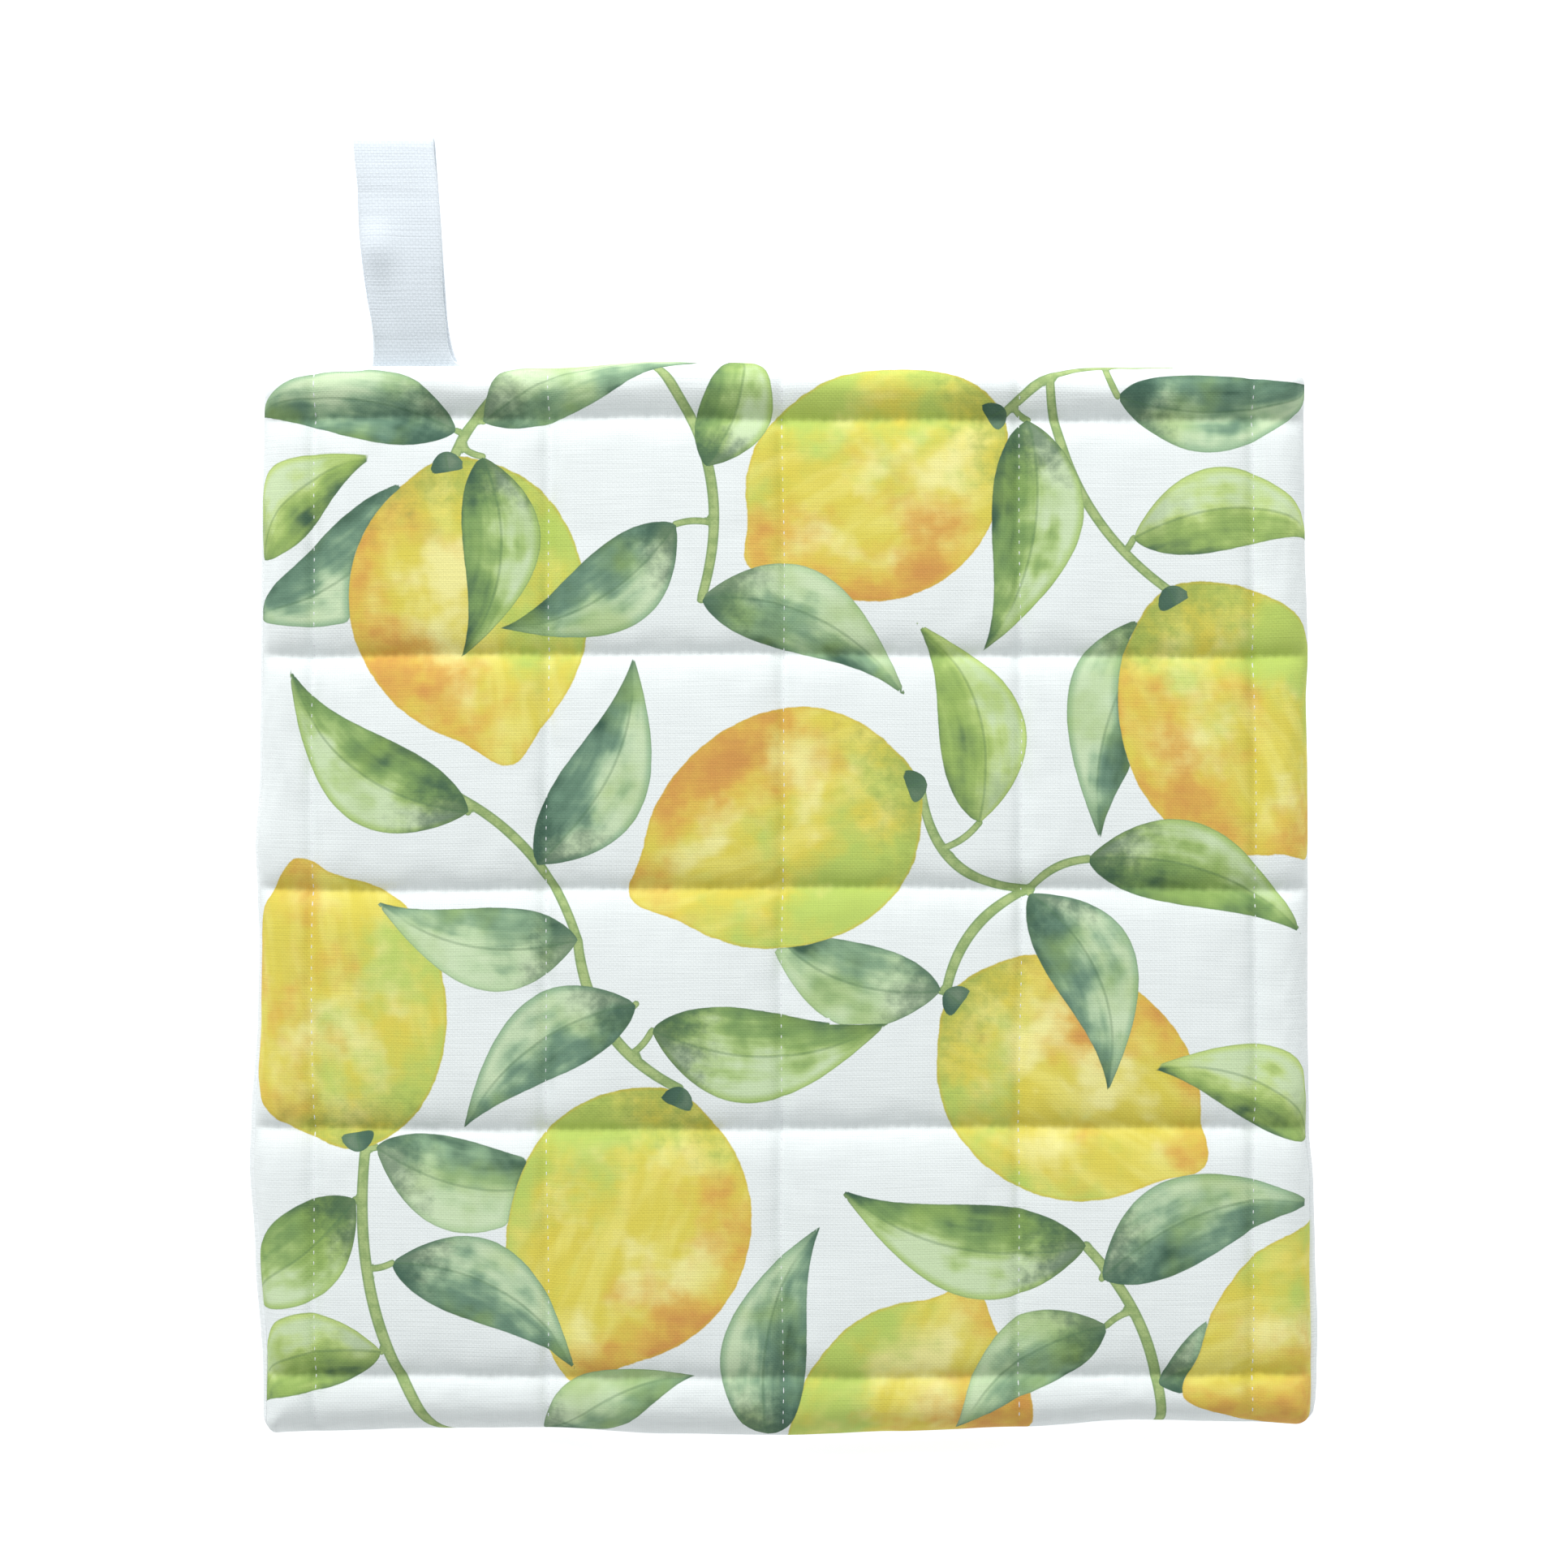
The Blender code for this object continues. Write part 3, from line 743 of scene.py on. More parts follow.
def back_places(column, row):
    """Where the back's points lie, for its mesh lines with these numbers."""
    x, y = back_x[column], back_y[row]
    plan_x, plan_y, edge = round_corner(x, y)
    to_x, to_y = inward(x, y, plan_x, plan_y)
    start = np.arccos(1 - peep(x, y) / ROLL_RADIUS)
    turn = start + (-math.pi / 2 - start) * np.clip(edge / ROLL_SPAN, 0, 1)
    wanted = ROLL_RADIUS * (1 - np.cos(turn)) + np.maximum(edge - ROLL_SPAN, 0)
    shift = np.where(edge < BORDER, wanted - edge, 0)
    shift = shift * np.clip((BORDER - edge) / (BORDER - ROLL_SPAN), 0, 1)
    plan_x, plan_y = plan_x + to_x * shift, plan_y + to_y * shift
    from_sewn = np.minimum(nearest(y, ROW_Y), nearest(x, COLUMN_X))
    groove = BACK_GROOVE * (1 - rise(from_sewn, GROOVE_HALF_WIDTH))
    groove = groove * np.clip((edge - GROOVE_START) / LIFT_WIDTH, 0, 1)
    lift = BORDER_LIFT * np.clip((LIFT_START - edge) / LIFT_WIDTH, 0, 1)
    roll = BORDER_LIFT + ROLL_RADIUS * (1 + np.sin(turn))
    height = np.where(edge < ROLL_SPAN, roll, np.maximum(lift, groove))
    plan_x, plan_y = uneven_edge(plan_x, plan_y, 0)
    plan_x, plan_y = sewing_wander(plan_x, plan_y, edge)
    return np.stack([plan_x, plan_y, height], axis=-1)


# %% Make the back
NEAR_ROLL = (0, .2, .4, .65, .95, 1.3, 1.65, 2.0, 2.35, 2.7, 3.0)
NEAR_GROOVE = (0, .4, .9, 1.6, 2.6, 4.0)
back_x, back_y = (cloth_lines(half, sewn, NEAR_ROLL, NEAR_GROOVE, border_step=2.5, cell_step=3.5)
                  for half, sewn in ((HALF_WIDTH, COLUMN_X), (HALF_HEIGHT, ROW_Y)))
back_bm, back_column, back_row = cloth_grid(back_x, back_y)
set_points(back_bm, back_places(back_column, back_row))
bmesh.ops.reverse_faces(back_bm, faces=back_bm.faces[:])
back = new_piece("back_cloth", back_bm)
back_flat = np.stack([back_x[back_column], back_y[back_row]], axis=1)[corner_points(back)]
set_uv(back, back_flat)
thickness = back.modifiers.new("cloth thickness", "SOLIDIFY")
thickness.thickness, thickness.offset = CLOTH_THICKNESS * MM, -1.0
print("back faces:", len(back.data.polygons))

# %% [markdown]
# ## The tape loop
#
# The hanging loop is a woven cotton tape, 15.5 mm wide, folded over on itself with both ends sewn
# into the top seam. A table of stations gives its path: out of the seam, over a soft crest, round
# the fold and back underneath. The rows of a grid follow a smooth curve through the stations, and
# Solidify and Bevel give it thickness and soft edges.

# %% Stations of the tape: beyond the top edge, height, left side, right side
TAPE_THICKNESS = 1.0
TAPE_ROOT_Y = 101.6
TAPE_STATIONS = np.array((
    (-8, 4, -78.8, -63.6), (-4, 4, -78.8, -63.2), (-0.2, 4, -78.8, -61.9), (1.4, 4.4, -78.6, -63.1),
    (4, 5.1, -78.4, -63.9), (8, 6.2, -78.7, -64.2), (14, 7.2, -79.1, -64.8), (21, 7.7, -79.8, -65.2),
    (28, 7.6, -80.5, -65.6), (34, 7.3, -81.2, -66), (39, 6.9, -81.9, -66.4), (42.7, 6.2, -82.3, -66.6),
    (43.8, 4, -82.4, -66.7), (42.4, 1.8, -82.3, -66.6), (38, 0.9, -82, -66.5), (30, 0.8, -81.6, -66.2),
    (22, 0.8, -81.1, -65.8), (14, 1.1, -80.3, -65), (8, 1.8, -79.3, -64.2), (3.5, 2.6, -78.9, -63.2),
    (-0.2, 2.8, -78.8, -62.2), (-4, 2.8, -78.8, -63.2), (-8, 2.8, -78.8, -63.6),
))


def tape_rows(steps):
    """The stations joined by a smooth curve, with this many steps from each to the next."""
    at = np.linspace(0, len(TAPE_STATIONS) - 1, (len(TAPE_STATIONS) - 1) * steps + 1)
    k = np.minimum(at.astype(int), len(TAPE_STATIONS) - 2)
    s = (at - k)[:, None]
    before, after = np.maximum(k - 1, 0), np.minimum(k + 2, len(TAPE_STATIONS) - 1)
    a, b, c, d = (TAPE_STATIONS[n] for n in (before, k, k + 1, after))
    squared, cubed = (2 * a - 5 * b + 4 * c - d) * s**2, (3 * b - a - 3 * c + d) * s**3
    return 0.5 * (2 * b + (c - a) * s + squared + cubed)


tape_path = tape_rows(6)
tape_length = travelled(tape_path[:, 0], tape_path[:, 1])
print("tape length, mm:", round(float(tape_length[-1]), 1))

# %% [markdown]
# A plain folded strip would look stamped out. The real tape has a faint crease across it, a soft
# swelling at half its length with a dip before it, both in its left half, and edges that waver,
# so these are added as small smooth bumps on the upper layer.

# %% Make the tape
TAPE_COLUMNS, TAPE_WIDTH = 16, 15.5
CREASE_DEPTH, CREASE_PLACE, CREASE_WIDTH = 0.12, 32.5, 0.8
TAPE_CROWN, LOWER_CROWN, EDGE_WAVE, SIDE_WAVER = 0.25, 0.1, 0.35, 0.25
LAYER_LEVEL, LAYER_FADE, EDGE_SOFTNESS = 3.0, 2.0, 0.3
# Height, place and reach along the tape, place and reach across it
SWELLING, DIP = (1.3, 22, 4.5, 0.2, 0.22), (-0.4, 12, 6.5, 0.2, 0.16)


def tape_bumps(across, beyond, upper):
    """Small rises and dips of the upper layer, in millimetres. across runs from 0 to 1."""
    bumps = -CREASE_DEPTH * bell(beyond - CREASE_PLACE + across, CREASE_WIDTH)
    for height, along, reach, side, side_reach in (SWELLING, DIP):
        bumps = bumps + height * bell(beyond - along, reach) * bell(across - side, side_reach)
    bumps = bumps + EDGE_WAVE * np.abs(2 * across - 1) ** 3 * np.sin(beyond / 5.2 + 3 * across)
    crown = TAPE_CROWN * (1 - (2 * across - 1) ** 2)
    return upper * (bumps + crown) + (1 - upper) * LOWER_CROWN * crown


tape_bm, tape_column, tape_row = cloth_grid(np.arange(TAPE_COLUMNS + 1), np.arange(len(tape_path)))
across = tape_column / TAPE_COLUMNS
beyond, tape_z, left, right = tape_path[tape_row].T
upper = np.clip((tape_z - LAYER_LEVEL) / LAYER_FADE, 0, 1) * np.clip((beyond + 1) / 4, 0, 1)
waver = SIDE_WAVER * np.sin(tape_length[tape_row] / 6.5 + 2.5 * across)
waver = waver * np.clip((beyond + 1) / 5, 0, 1)
tape_x = left + (right - left) * across + waver
tape_z = tape_z + tape_bumps(across, beyond, upper)
set_points(tape_bm, np.stack([tape_x, TAPE_ROOT_Y + beyond, tape_z], axis=1))
tape = new_piece("tape_loop", tape_bm)
tape_flat = np.stack([(across - 0.5) * TAPE_WIDTH, tape_length[tape_row] - tape_length[-1] / 2], axis=1)
set_uv(tape, tape_flat[corner_points(tape)])
thickness = tape.modifiers.new("tape thickness", "SOLIDIFY")
thickness.thickness, thickness.offset, thickness.use_even_offset = TAPE_THICKNESS * MM, 0.0, True
soft_edge = tape.modifiers.new("soft edge", "BEVEL")
soft_edge.width, soft_edge.segments = EDGE_SOFTNESS * MM, 2
soft_edge.limit_method, soft_edge.angle_limit = "ANGLE", math.radians(50)
print("tape faces:", len(tape.data.polygons))

# %% [markdown]
# ## The stitching
#
# White thread holds the layers together. A stitch shows for about a millimetre and a half before
# it dives into the next needle hole. Each one is a small stretched sphere with few faces, because
# there are about a thousand on each side, laid along the sewn line at the height that the cloth
# has there. All stitches of a side are one mesh.

# %% One stitch
THREAD_RADIUS, STITCH_SHOWS = 0.2, 1.4
stitch_size = (STITCH_SHOWS / 2, THREAD_RADIUS, THREAD_RADIUS)
stitch_bm = bmesh.new()
bmesh.ops.create_uvsphere(stitch_bm, u_segments=6, v_segments=5, radius=MM)
bmesh.ops.rotate(stitch_bm, matrix=Matrix.Rotation(math.pi / 2, 3, "Y"), verts=stitch_bm.verts[:])
bmesh.ops.scale(stitch_bm, vec=stitch_size, verts=stitch_bm.verts[:])
stitch_mesh = bpy.data.meshes.new("one_stitch")
stitch_bm.to_mesh(stitch_mesh)
stitch_bm.free()
print("faces of one stitch:", len(stitch_mesh.polygons))

# %% Stitches along the sewn lines
LOOK_AHEAD = 0.8


def add_stitches(bm, path, lift, margin, step):
    """Adds a copy of the stitch at every step along a path, down to a margin at its ends."""
    measure = travelled(*path.T)
    at = np.arange(margin, measure[-1] - margin, step)
    behind, middle, ahead = (np.stack([np.interp(at + shift, measure, axis) for axis in path.T], axis=1)
                             for shift in (-LOOK_AHEAD, 0, LOOK_AHEAD))
    for back_end, place, front_end in zip(behind, middle, ahead):
        way = Vector(front_end - back_end).normalized()
        place = (Vector(place) + PAD_MIDDLE + Vector((0, 0, lift))) * MM
        laid = stitch_mesh.copy()
        laid.transform(Matrix.Translation(place) @ way.to_track_quat("X", "Z").to_matrix().to_4x4())
        bm.from_mesh(laid)
        bpy.data.meshes.remove(laid)


def stitched_side(name, columns, rows, places_of, row_lift, column_lift, margin, step):
    """The stitches of all sewn lines on one side of the pad, from its fine grid."""
    every_column, every_row = np.arange(len(columns)), np.arange(len(rows))
    bm = bmesh.new()
    for line in ROW_Y:
        row = np.full_like(every_column, np.argmin(abs(rows - line)))
        add_stitches(bm, places_of(every_column, row), row_lift, margin, step)
    for line in COLUMN_X:
        column = np.full_like(every_row, np.argmin(abs(columns - line)))
        add_stitches(bm, places_of(column, every_row), column_lift, margin, step)
    piece = new_piece(name, bm)
    print(name, "has", len(piece.data.polygons), "faces")
    return piece


front_stitches = stitched_side("front_stitches", front_x, front_y, front_places,
                               row_lift=-0.3, column_lift=-0.14, margin=5.0, step=STITCH * 1.02)
back_stitches = stitched_side("back_stitches", back_x, back_y, back_places,
                              row_lift=-0.1, column_lift=-0.1, margin=6.0, step=STITCH)

# %% [markdown]
# ## Node helpers
#
# The materials are built from nodes in code. A wire stands for one output of a node, and a sign
# between two wires makes a Math node, so that a formula of the paint reads as a formula. The
# helpers after it wrap the nodes that come up again and again.


# %% Wires between nodes
class Wire:
    """One output of a node. A sign between wires makes a Math node in the same tree."""

    def __init__(self, socket):
        self.socket, self.tree = socket, socket.id_data

    def into(self, socket):
        self.tree.links.new(self.socket, socket)

    def __add__(self, other):
        return maths("ADD", self, other)

    def __sub__(self, other):
        return maths("SUBTRACT", self, other)

    def __mul__(self, other):
        return maths("MULTIPLY", self, other)

    def __truediv__(self, other):
        return maths("DIVIDE", self, other)

    def __abs__(self):
        return maths("ABSOLUTE", self)


def node(tree, kind, inputs=(), **settings):
    """Makes a node with its settings and a value or a wire for each input. Gives its outputs."""
    new = tree.nodes.new("ShaderNode" + kind)
    for name, value in settings.items():
        setattr(new, name, value)
    for name, value in dict(inputs).items():
        if isinstance(value, Wire):
            value.into(new.inputs[name])
        else:
            new.inputs[name].default_value = value
    return [Wire(socket) for socket in new.outputs]


def maths(operation, first, *others):
    return node(first.tree, "Math", enumerate((first, *others)), operation=operation)[0]


# %% Helpers for colours, patterns and groups
def colour(red, green, blue):
    """A colour given in screen values, from 11 to 255, as the linear values that nodes use."""
    return (*[((value / 255 + 0.055) / 1.055) ** 2.4 for value in (red, green, blue)], 1.0)


def parts(place):
    return node(place.tree, "SeparateXYZ", {0: place})


def eased(value, low, high, start=0.0, end=1.0):
    """start below low, passing smoothly to end at high."""
    wanted = {"Value": value, "From Min": low, "From Max": high, "To Min": start, "To Max": end}
    return node(value.tree, "MapRange", wanted, interpolation_type="SMOOTHSTEP")[0]


def washed(paint, *washes):
    """Washes laid over a paint in order, each given as its share and its colour."""
    for share, wash in washes:
        paint = node(share.tree, "Mix", {0: share, 6: paint, 7: wash}, data_type="RGBA")[2]
    return paint


def stretched(place, x, y, z=1.0):
    return node(place.tree, "VectorMath", {0: place, 1: (x, y, z)}, operation="MULTIPLY")[0]


def noise(place, scale, detail=2.0, roughness=0.5):
    wanted = {"Vector": place, "Scale": scale, "Detail": detail, "Roughness": roughness}
    return node(place.tree, "TexNoise", wanted)


def effect_group(name, inputs, outputs):
    """A new group with named sockets: its tree, wires from its inputs, and its output sockets."""
    group = bpy.data.node_groups.new(name, "ShaderNodeTree")
    for socket, (kind, value) in inputs.items():
        made = group.interface.new_socket(socket, in_out="INPUT", socket_type="NodeSocket" + kind)
        if value is not None:
            made.default_value = value
    for socket, kind in outputs.items():
        group.interface.new_socket(socket, in_out="OUTPUT", socket_type="NodeSocket" + kind)
    given = {socket.name: Wire(socket) for socket in group.nodes.new("NodeGroupInput").outputs}
    return group, given, group.nodes.new("NodeGroupOutput").inputs


print("a mid grey from the screen is", round(colour(128, 128, 128)[0], 3), "to the nodes")

# %% [markdown]
# ## The weave
#
# All three cloths are plain-woven cotton, so one group makes the weave for all of them. Threads
# go over and under each other like a chessboard, but what the eye meets first is uneven yarn:
# thick and thin stretches run along the threads. The group reads the flat cloth, and gives back
# the colour, the roughness and a normal. The colour varies with the slubs, and it is a little
# darker between the threads, which is painted shade.

# %% The weave as a node group
weave, given, gives = effect_group(
    "plain_weave",
    {"Flat cloth": ("Vector", None), "Colour": ("Color", (0.8, 0.8, 0.8, 1)),
     "Threads": ("Float", 560.0), "Relief": ("Float", 0.00008), "Slubs": ("Float", 1.0)},
    {"Colour": "Color", "Roughness": "Float", "Normal": "Vector"},
)
scaling = {0: given["Flat cloth"], "Scale": given["Threads"]}
threads = node(weave, "VectorMath", scaling, operation="SCALE")[0]
warp, weft, _ = parts(threads)
over = maths("FLOORED_MODULO", maths("FLOOR", warp) + maths("FLOOR", weft), 2.0)
warp_hump, weft_hump = (abs(maths("SINE", yarn * math.pi)) for yarn in (warp, weft))
woven = node(weave, "Mix", {0: over, 2: warp_hump, 3: weft_hump}, data_type="FLOAT")[0]
slubs_across = noise(stretched(threads, 0.045, 0.9), 1.0, roughness=0.6)[0]
slubs_up = noise(stretched(threads, 0.8, 0.05), 1.0, roughness=0.6)[0]
uneven = (slubs_across + slubs_up * 0.5 - 0.75) * given["Slubs"]
# Yarn tone that varies with the slubs, and painted shade that darkens the cloth between the threads
slub_tone_and_painted_shade = uneven * 0.14 + woven * 0.05 + 0.965
tone_and_shade_colour = node(weave, "CombineXYZ", {0: slub_tone_and_painted_shade, 1: slub_tone_and_painted_shade, 2: slub_tone_and_painted_shade})[0]
tone_and_shade_mixing = {0: 1.0, 6: given["Colour"], 7: tone_and_shade_colour}
node(weave, "Mix", tone_and_shade_mixing, data_type="RGBA", blend_type="MULTIPLY")[2].into(gives["Colour"])
(uneven * 0.3 + 0.86).into(gives["Roughness"])
relief = woven * 0.5 + uneven * 1.5
node(weave, "Bump", {"Height": relief, "Distance": given["Relief"]})[0].into(gives["Normal"])
print("weave nodes:", len(weave.nodes))

# %% [markdown]
# ## Lemon paint
#
# Watercolour gathers at the edge of a wet area and leaves pale pools inside it. A lemon starts
# bright yellow, gets a cream light, a lime side, a warm gold side and an olive shade near the
# stem, each with a soft edge that broad noise pushes about, and ends with a thin darker rim.

# %% Lemon paint
PAINT_INPUTS = {"Place": ("Vector", None), "Washes": ("Vector", None), "Brush": ("Float", 0.5)}
PAINT_OUTPUTS = {"Colour": "Color", "Mask": "Float"}
lemon_paint, given, gives = effect_group("lemon_paint", PAINT_INPUTS, PAINT_OUTPUTS)
along, across, edge = parts(given["Place"])
wash, brush = parts(given["Washes"]), given["Brush"] - 0.5
strokes = noise(stretched(given["Place"], 0.05, 0.2, 0.0), 1.0)[0]
side = across * 0.0105 + along * 0.0035
cream = eased(wash[2] + brush * 0.1, 0.46, 0.64) * eased(edge, 1.0, 10.0, 0.0, 0.85)
lime = wash[1] + brush * 0.2 - side
gold = wash[0] + brush * 0.2 + side
stem = brush * 0.9 - along * 0.036
washed(
    colour(220, 206, 88),
    (eased(strokes, 0.4, 0.66, 0.0, 0.8), colour(232, 222, 118)),
    (cream, colour(242, 236, 162)),
    (eased(lime, 0.48, 0.8, 0.0, 0.95), colour(184, 206, 104)),
    (eased(gold, 0.5, 0.78, 0.0, 0.9), colour(222, 178, 84)),
    (eased(gold, 0.66, 0.9, 0.0, 0.85), colour(208, 146, 80)),
    (eased(stem, 0.5, 1.15, 0.0, 0.85), colour(156, 172, 84)),
    (eased(edge, 0.1, 0.8, 0.45, 0.0), colour(208, 180, 66)),
).into(gives["Colour"])
eased(edge + brush * 0.7, -0.08, 0.2).into(gives["Mask"])
print("lemon paint nodes:", len(lemon_paint.nodes))

# %% [markdown]
# ## Leaf paint
#
# A leaf is painted in two halves, a shaded one and a lit one, in one of four greens. Pale green
# pools in the middle, the shaded half darkens towards its edge, the base and the tip are darker
# still, and a fine line marks the midrib.

# %% Leaf paint
SHADED_GREENS = (colour(108, 141, 119), colour(128, 160, 97), colour(136, 168, 135), colour(150, 178, 101))
LIT_GREENS = (colour(157, 188, 152), colour(175, 201, 127), colour(186, 211, 167), colour(196, 217, 134))


def green_of(tone, greens):
    """The green with the tone's number, from four fixed colours."""
    green = node(tone.tree, "ValToRGB", {0: tone * 0.25 + 0.125})[0]
    ramp = green.socket.node.color_ramp
    ramp.interpolation = "CONSTANT"
    ramp.elements[0].color = greens[0]
    for number in (1, 2, 3):
        ramp.elements.new(number / 4).color = greens[number]
    ramp.elements.remove(ramp.elements[-1])
    return green


leaf_inputs = {**PAINT_INPUTS, "Tone": ("Float", 0.0), "Pools": ("Vector", None)}
leaf_paint, given, gives = effect_group("leaf_paint", leaf_inputs, PAINT_OUTPUTS)
share, across, edge = parts(given["Place"])
wash, brush, pools = parts(given["Washes"]), given["Brush"] - 0.5, parts(given["Pools"])
streaks = noise(stretched(given["Place"], 2.6, 0.4, 0.0), 1.0)[0]
half_width = maths("MAXIMUM", abs(across) + edge, 0.3)
lit_half = eased(across + brush * 0.8, -0.35, 0.35)
light = across / half_width * 0.26 + lit_half * 0.12 + wash[0] + pools[0] * 0.6 + streaks * 0.5 - 0.55
inside = eased(edge, 0.3, 2.0) * eased(share, 0.7, 0.95, 0.85, 0.0)
ends = maths("MAXIMUM", eased(share + brush * 0.4, 0.04, 0.3, 1.0, 0.0), eased(share, 0.82, 1.0))
midrib = eased(abs(across), 0.08, 0.4, 0.35, 0.0) * eased(share, 0.7, 0.9, 1.0, 0.0)
washed(
    colour(60, 92, 76),
    (eased(light, 0.0, 0.4), green_of(given["Tone"], SHADED_GREENS)),
    (eased(light, 0.34, 0.66), green_of(given["Tone"], LIT_GREENS)),
    (eased(light, 0.5, 0.82) * inside, colour(208, 226, 188)),
    (eased(wash[1], 0.46, 0.7, 0.0, 0.5), colour(152, 180, 92)),
    (ends * eased(given["Tone"], 1.5, 4.0, 0.75, 0.0), colour(56, 88, 74)),
    (midrib, colour(84, 118, 84)),
    (eased(edge, 0.05, 0.5, 0.32, 0.0), colour(80, 112, 84)),
).into(gives["Colour"])
eased(edge + brush * 0.3, -0.06, 0.16).into(gives["Mask"])
print("leaf paint nodes:", len(leaf_paint.nodes))

# %% [markdown]
# ## The printed cotton
#
# Twigs are one pale stroke with darker edges. The material lays the paints over the white ground
# in order, the twigs, the lemons and the leaves, and sends the result through the weave. Noises on
# the flat cloth vary the paints: broad washes, smaller pools in the leaves and the fine brush.


# %% The printed cotton's material
COTTON_ROUGHNESS, SPECULAR = 0.88, 0.25


def new_material(name, roughness):
    """A new material's node tree and its shader."""
    material = bpy.data.materials.new(name)
    material.use_nodes = True
    shader = material.node_tree.nodes["Principled BSDF"]
    shader.inputs["Roughness"].default_value = roughness
    shader.inputs["Specular IOR Level"].default_value = SPECULAR
    return material.node_tree, shader


def flat_cloth(tree):
    return node(tree, "UVMap", uv_map="flat_cloth")[0]


def read_vector(tree, name):
    return node(tree, "Attribute", attribute_name=name)[1]


def read_value(tree, name):
    return node(tree, "Attribute", attribute_name=name)[2]


def join_weave(shader, flat, cloth_colour, **values):
    """Sends a colour through the weave group into the shader."""
    given = {"Flat cloth": flat, "Colour": cloth_colour, **values}
    gives = node(flat.tree, "Group", given, node_tree=weave)
    for wire, name in zip(gives, ("Base Color", "Roughness", "Normal")):
        wire.into(shader.inputs[name])


printed, shader = new_material("printed_cotton_paint", COTTON_ROUGHNESS)
flat = flat_cloth(printed)
brush = noise(flat, 90.0, 4.0, 0.6)[0]
shared = {"Washes": noise(flat, 16.0, 3.0, 0.55)[1], "Brush": brush}
lemon = {"Place": read_vector(printed, "lemon"), **shared}
leaf = {"Place": read_vector(printed, "leaf"), "Tone": read_value(printed, "leaf_tone"),
        "Pools": noise(flat, 42.0)[1], **shared}
lemon_colour, in_lemon = node(printed, "Group", lemon, node_tree=lemon_paint)
leaf_colour, in_leaf = node(printed, "Group", leaf, node_tree=leaf_paint)
beside_axis = {0: stretched(read_vector(printed, "twig"), 1, 1, 0)}
from_axis = node(printed, "VectorMath", beside_axis, operation="LENGTH")[1]
twig = maths("MAXIMUM", from_axis * -1.0 + 1.0, read_value(printed, "twigs"))
twig_colour = washed(
    colour(170, 190, 128),
    (eased(brush, 0.42, 0.6, 0.0, 0.7), colour(138, 164, 104)),
    (eased(twig, 0.1, 0.6, 0.65, 0.0), colour(112, 144, 98)),
)
painted = washed(
    colour(234, 239, 239),
    (eased(twig, -0.04, 0.16), twig_colour), (in_lemon, lemon_colour), (in_leaf, leaf_colour),
)
join_weave(shader, flat, painted, Threads=560.0, Relief=0.00005, Slubs=0.8)
print("printed cotton nodes:", len(printed.nodes))

# %% [markdown]
# ## The plain cloths and the thread
#
# The back and the tape are the same weave without a print. The tape is a bluer white with
# coarser threads. The sewing thread is too fine for a weave: a diagonal wave on Object
# coordinates gives it the twist of its two plies, as a bump and as painted shade that darkens
# the grooves between them.

# %% Materials of the back, the tape and the thread
back_tree, shader = new_material("white_cotton_back", COTTON_ROUGHNESS)
join_weave(shader, flat_cloth(back_tree), colour(238, 242, 243),
           Threads=520.0, Relief=0.00006, Slubs=0.9)
tape_tree, shader = new_material("woven_cotton_tape", COTTON_ROUGHNESS)
join_weave(shader, flat_cloth(tape_tree), colour(222, 229, 236),
           Threads=440.0, Relief=0.00007, Slubs=0.9)
thread_tree, shader = new_material("sewing_thread", 0.7)
object_place = Wire(thread_tree.nodes.new("ShaderNodeTexCoord").outputs["Object"])
twist = {"Vector": object_place, "Scale": 900.0, "Distortion": 0.5}
plies = node(thread_tree, "TexWave", twist, bands_direction="DIAGONAL")[1]
# Painted shade: the thread is darker in the grooves between its plies and lighter on their ridges
washed(colour(214, 216, 220), (plies, colour(240, 241, 244))).into(shader.inputs["Base Color"])
node(thread_tree, "Bump", {"Height": plies, "Distance": 0.00004})[0].into(shader.inputs["Normal"])
print("materials:", [material.name for material in bpy.data.materials])

# %% Dress the pieces
for piece, material, body, stands_for, slot in (
    (front, "printed_cotton_paint", "root", "front_panel", "printed_cotton"),
    (back, "white_cotton_back", "root", "back_panel", "white_cotton"),
    (tape, "woven_cotton_tape", "root", "hanging_loop", "cotton_tape"),
    (front_stitches, "sewing_thread", "root", None, "white_cotton"),
    (back_stitches, "sewing_thread", "root", None, "white_cotton"),
):
    piece.data.materials.append(bpy.data.materials[material])
    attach(piece, body)
    if stands_for:
        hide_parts(stands_for)

# %% [markdown]
# ## Floor, light and camera
#
# The pot holder was photographed on white, from straight above, with soft light from beyond its
# loop. That light is low enough to brighten every slope that faces it and to shade the slope
# before each sewn row, which is what makes the quilting show.

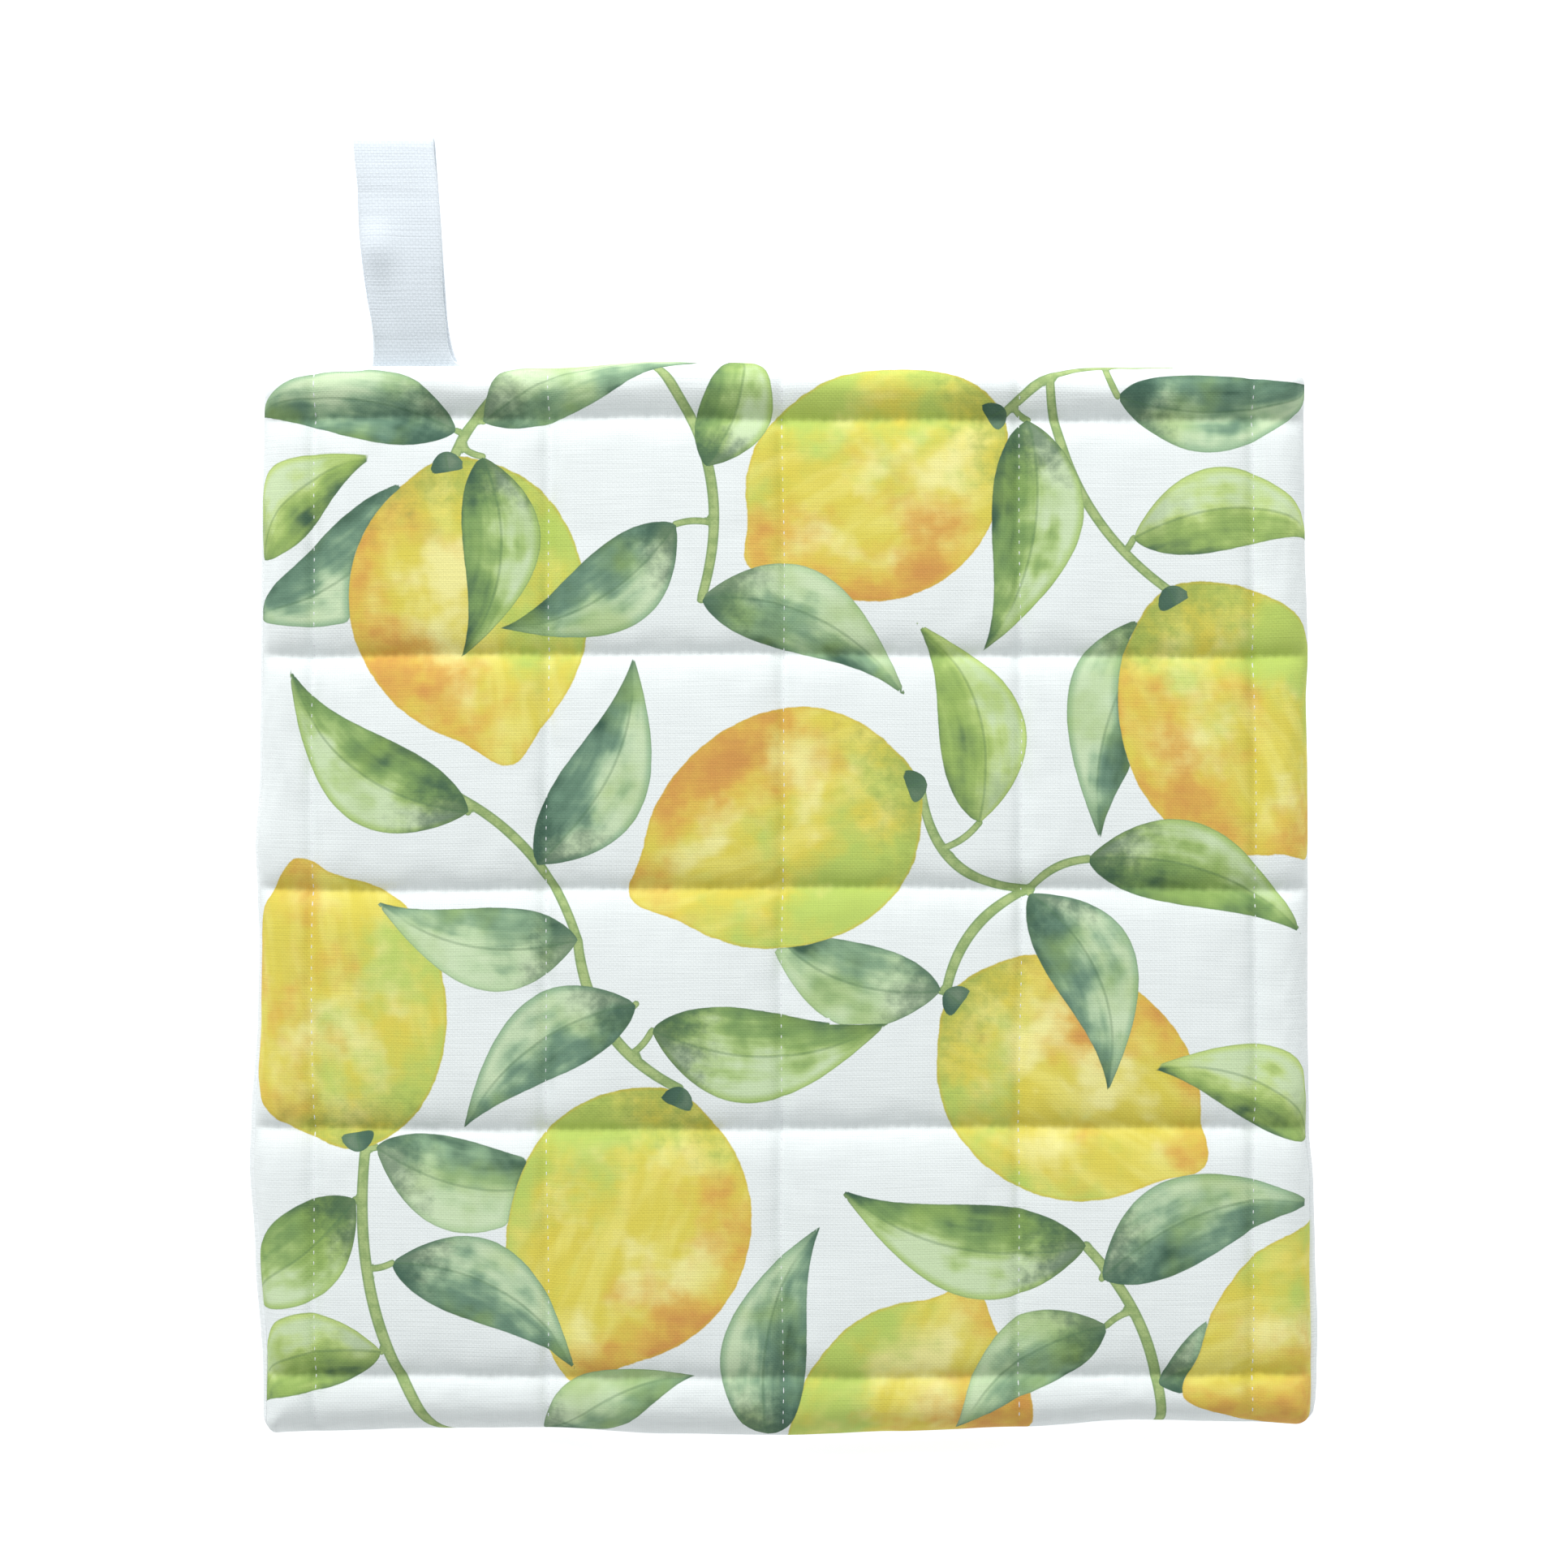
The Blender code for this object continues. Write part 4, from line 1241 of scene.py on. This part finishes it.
# %% A pale floor
FLOOR_SIZE, FLOOR_GAP = 20.0, 0.0002
FLOOR_COLOUR, FLOOR_GLOW = (0.93, 0.93, 0.94, 1), 0.45
floor_bm = bmesh.new()
bmesh.ops.create_grid(floor_bm, x_segments=1, y_segments=1, size=FLOOR_SIZE)
bmesh.ops.translate(floor_bm, vec=(0, 0, -FLOOR_GAP), verts=floor_bm.verts[:])
floor = new_piece("floor", floor_bm)
_, shader = new_material("pale_floor", 0.9)
shader.inputs["Base Color"].default_value = FLOOR_COLOUR
shader.inputs["Emission Color"].default_value = (1, 1, 1, 1)
shader.inputs["Emission Strength"].default_value = FLOOR_GLOW
floor.data.materials.append(bpy.data.materials["pale_floor"])

# %% One soft light and pale surroundings
LIGHT_PLACE, LIGHT_SIZE, LIGHT_WATTS = (-0.24, 1.28, 0.85), 0.8, 20.3
SKY_COLOUR, SKY_STRENGTH = (0.97, 1.0, 1.0, 1), 0.61
light_data = bpy.data.lights.new("window_beyond_the_loop", "AREA")
light_data.size, light_data.energy = LIGHT_SIZE, LIGHT_WATTS
light = add_object("window_beyond_the_loop", light_data)
light.location = LIGHT_PLACE
light.rotation_euler = (-light.location).to_track_quat("-Z", "Y").to_euler()
world = bpy.data.worlds.new("pale_surroundings")
world.use_nodes = True
sky = world.node_tree.nodes["Background"].inputs
sky["Color"].default_value, sky["Strength"].default_value = SKY_COLOUR, SKY_STRENGTH
bpy.context.scene.world = world
bpy.context.scene.view_settings.view_transform = "Standard"

# %% Camera straight above
CAMERA_PLACE, FACE_HEIGHT = (0.0001, 0.0011, 0.625), 0.006
SHOWN_WIDTH, SENSOR_WIDTH = 0.29907, 36.0
camera_data = bpy.data.cameras.new("camera")
camera_data.sensor_width = SENSOR_WIDTH
camera = add_object("camera", camera_data)
camera.location = CAMERA_PLACE
camera_data.lens = SENSOR_WIDTH * (camera.location.z - FACE_HEIGHT) / SHOWN_WIDTH
bpy.context.scene.camera = camera
print("camera lens, mm:", round(camera_data.lens, 1))
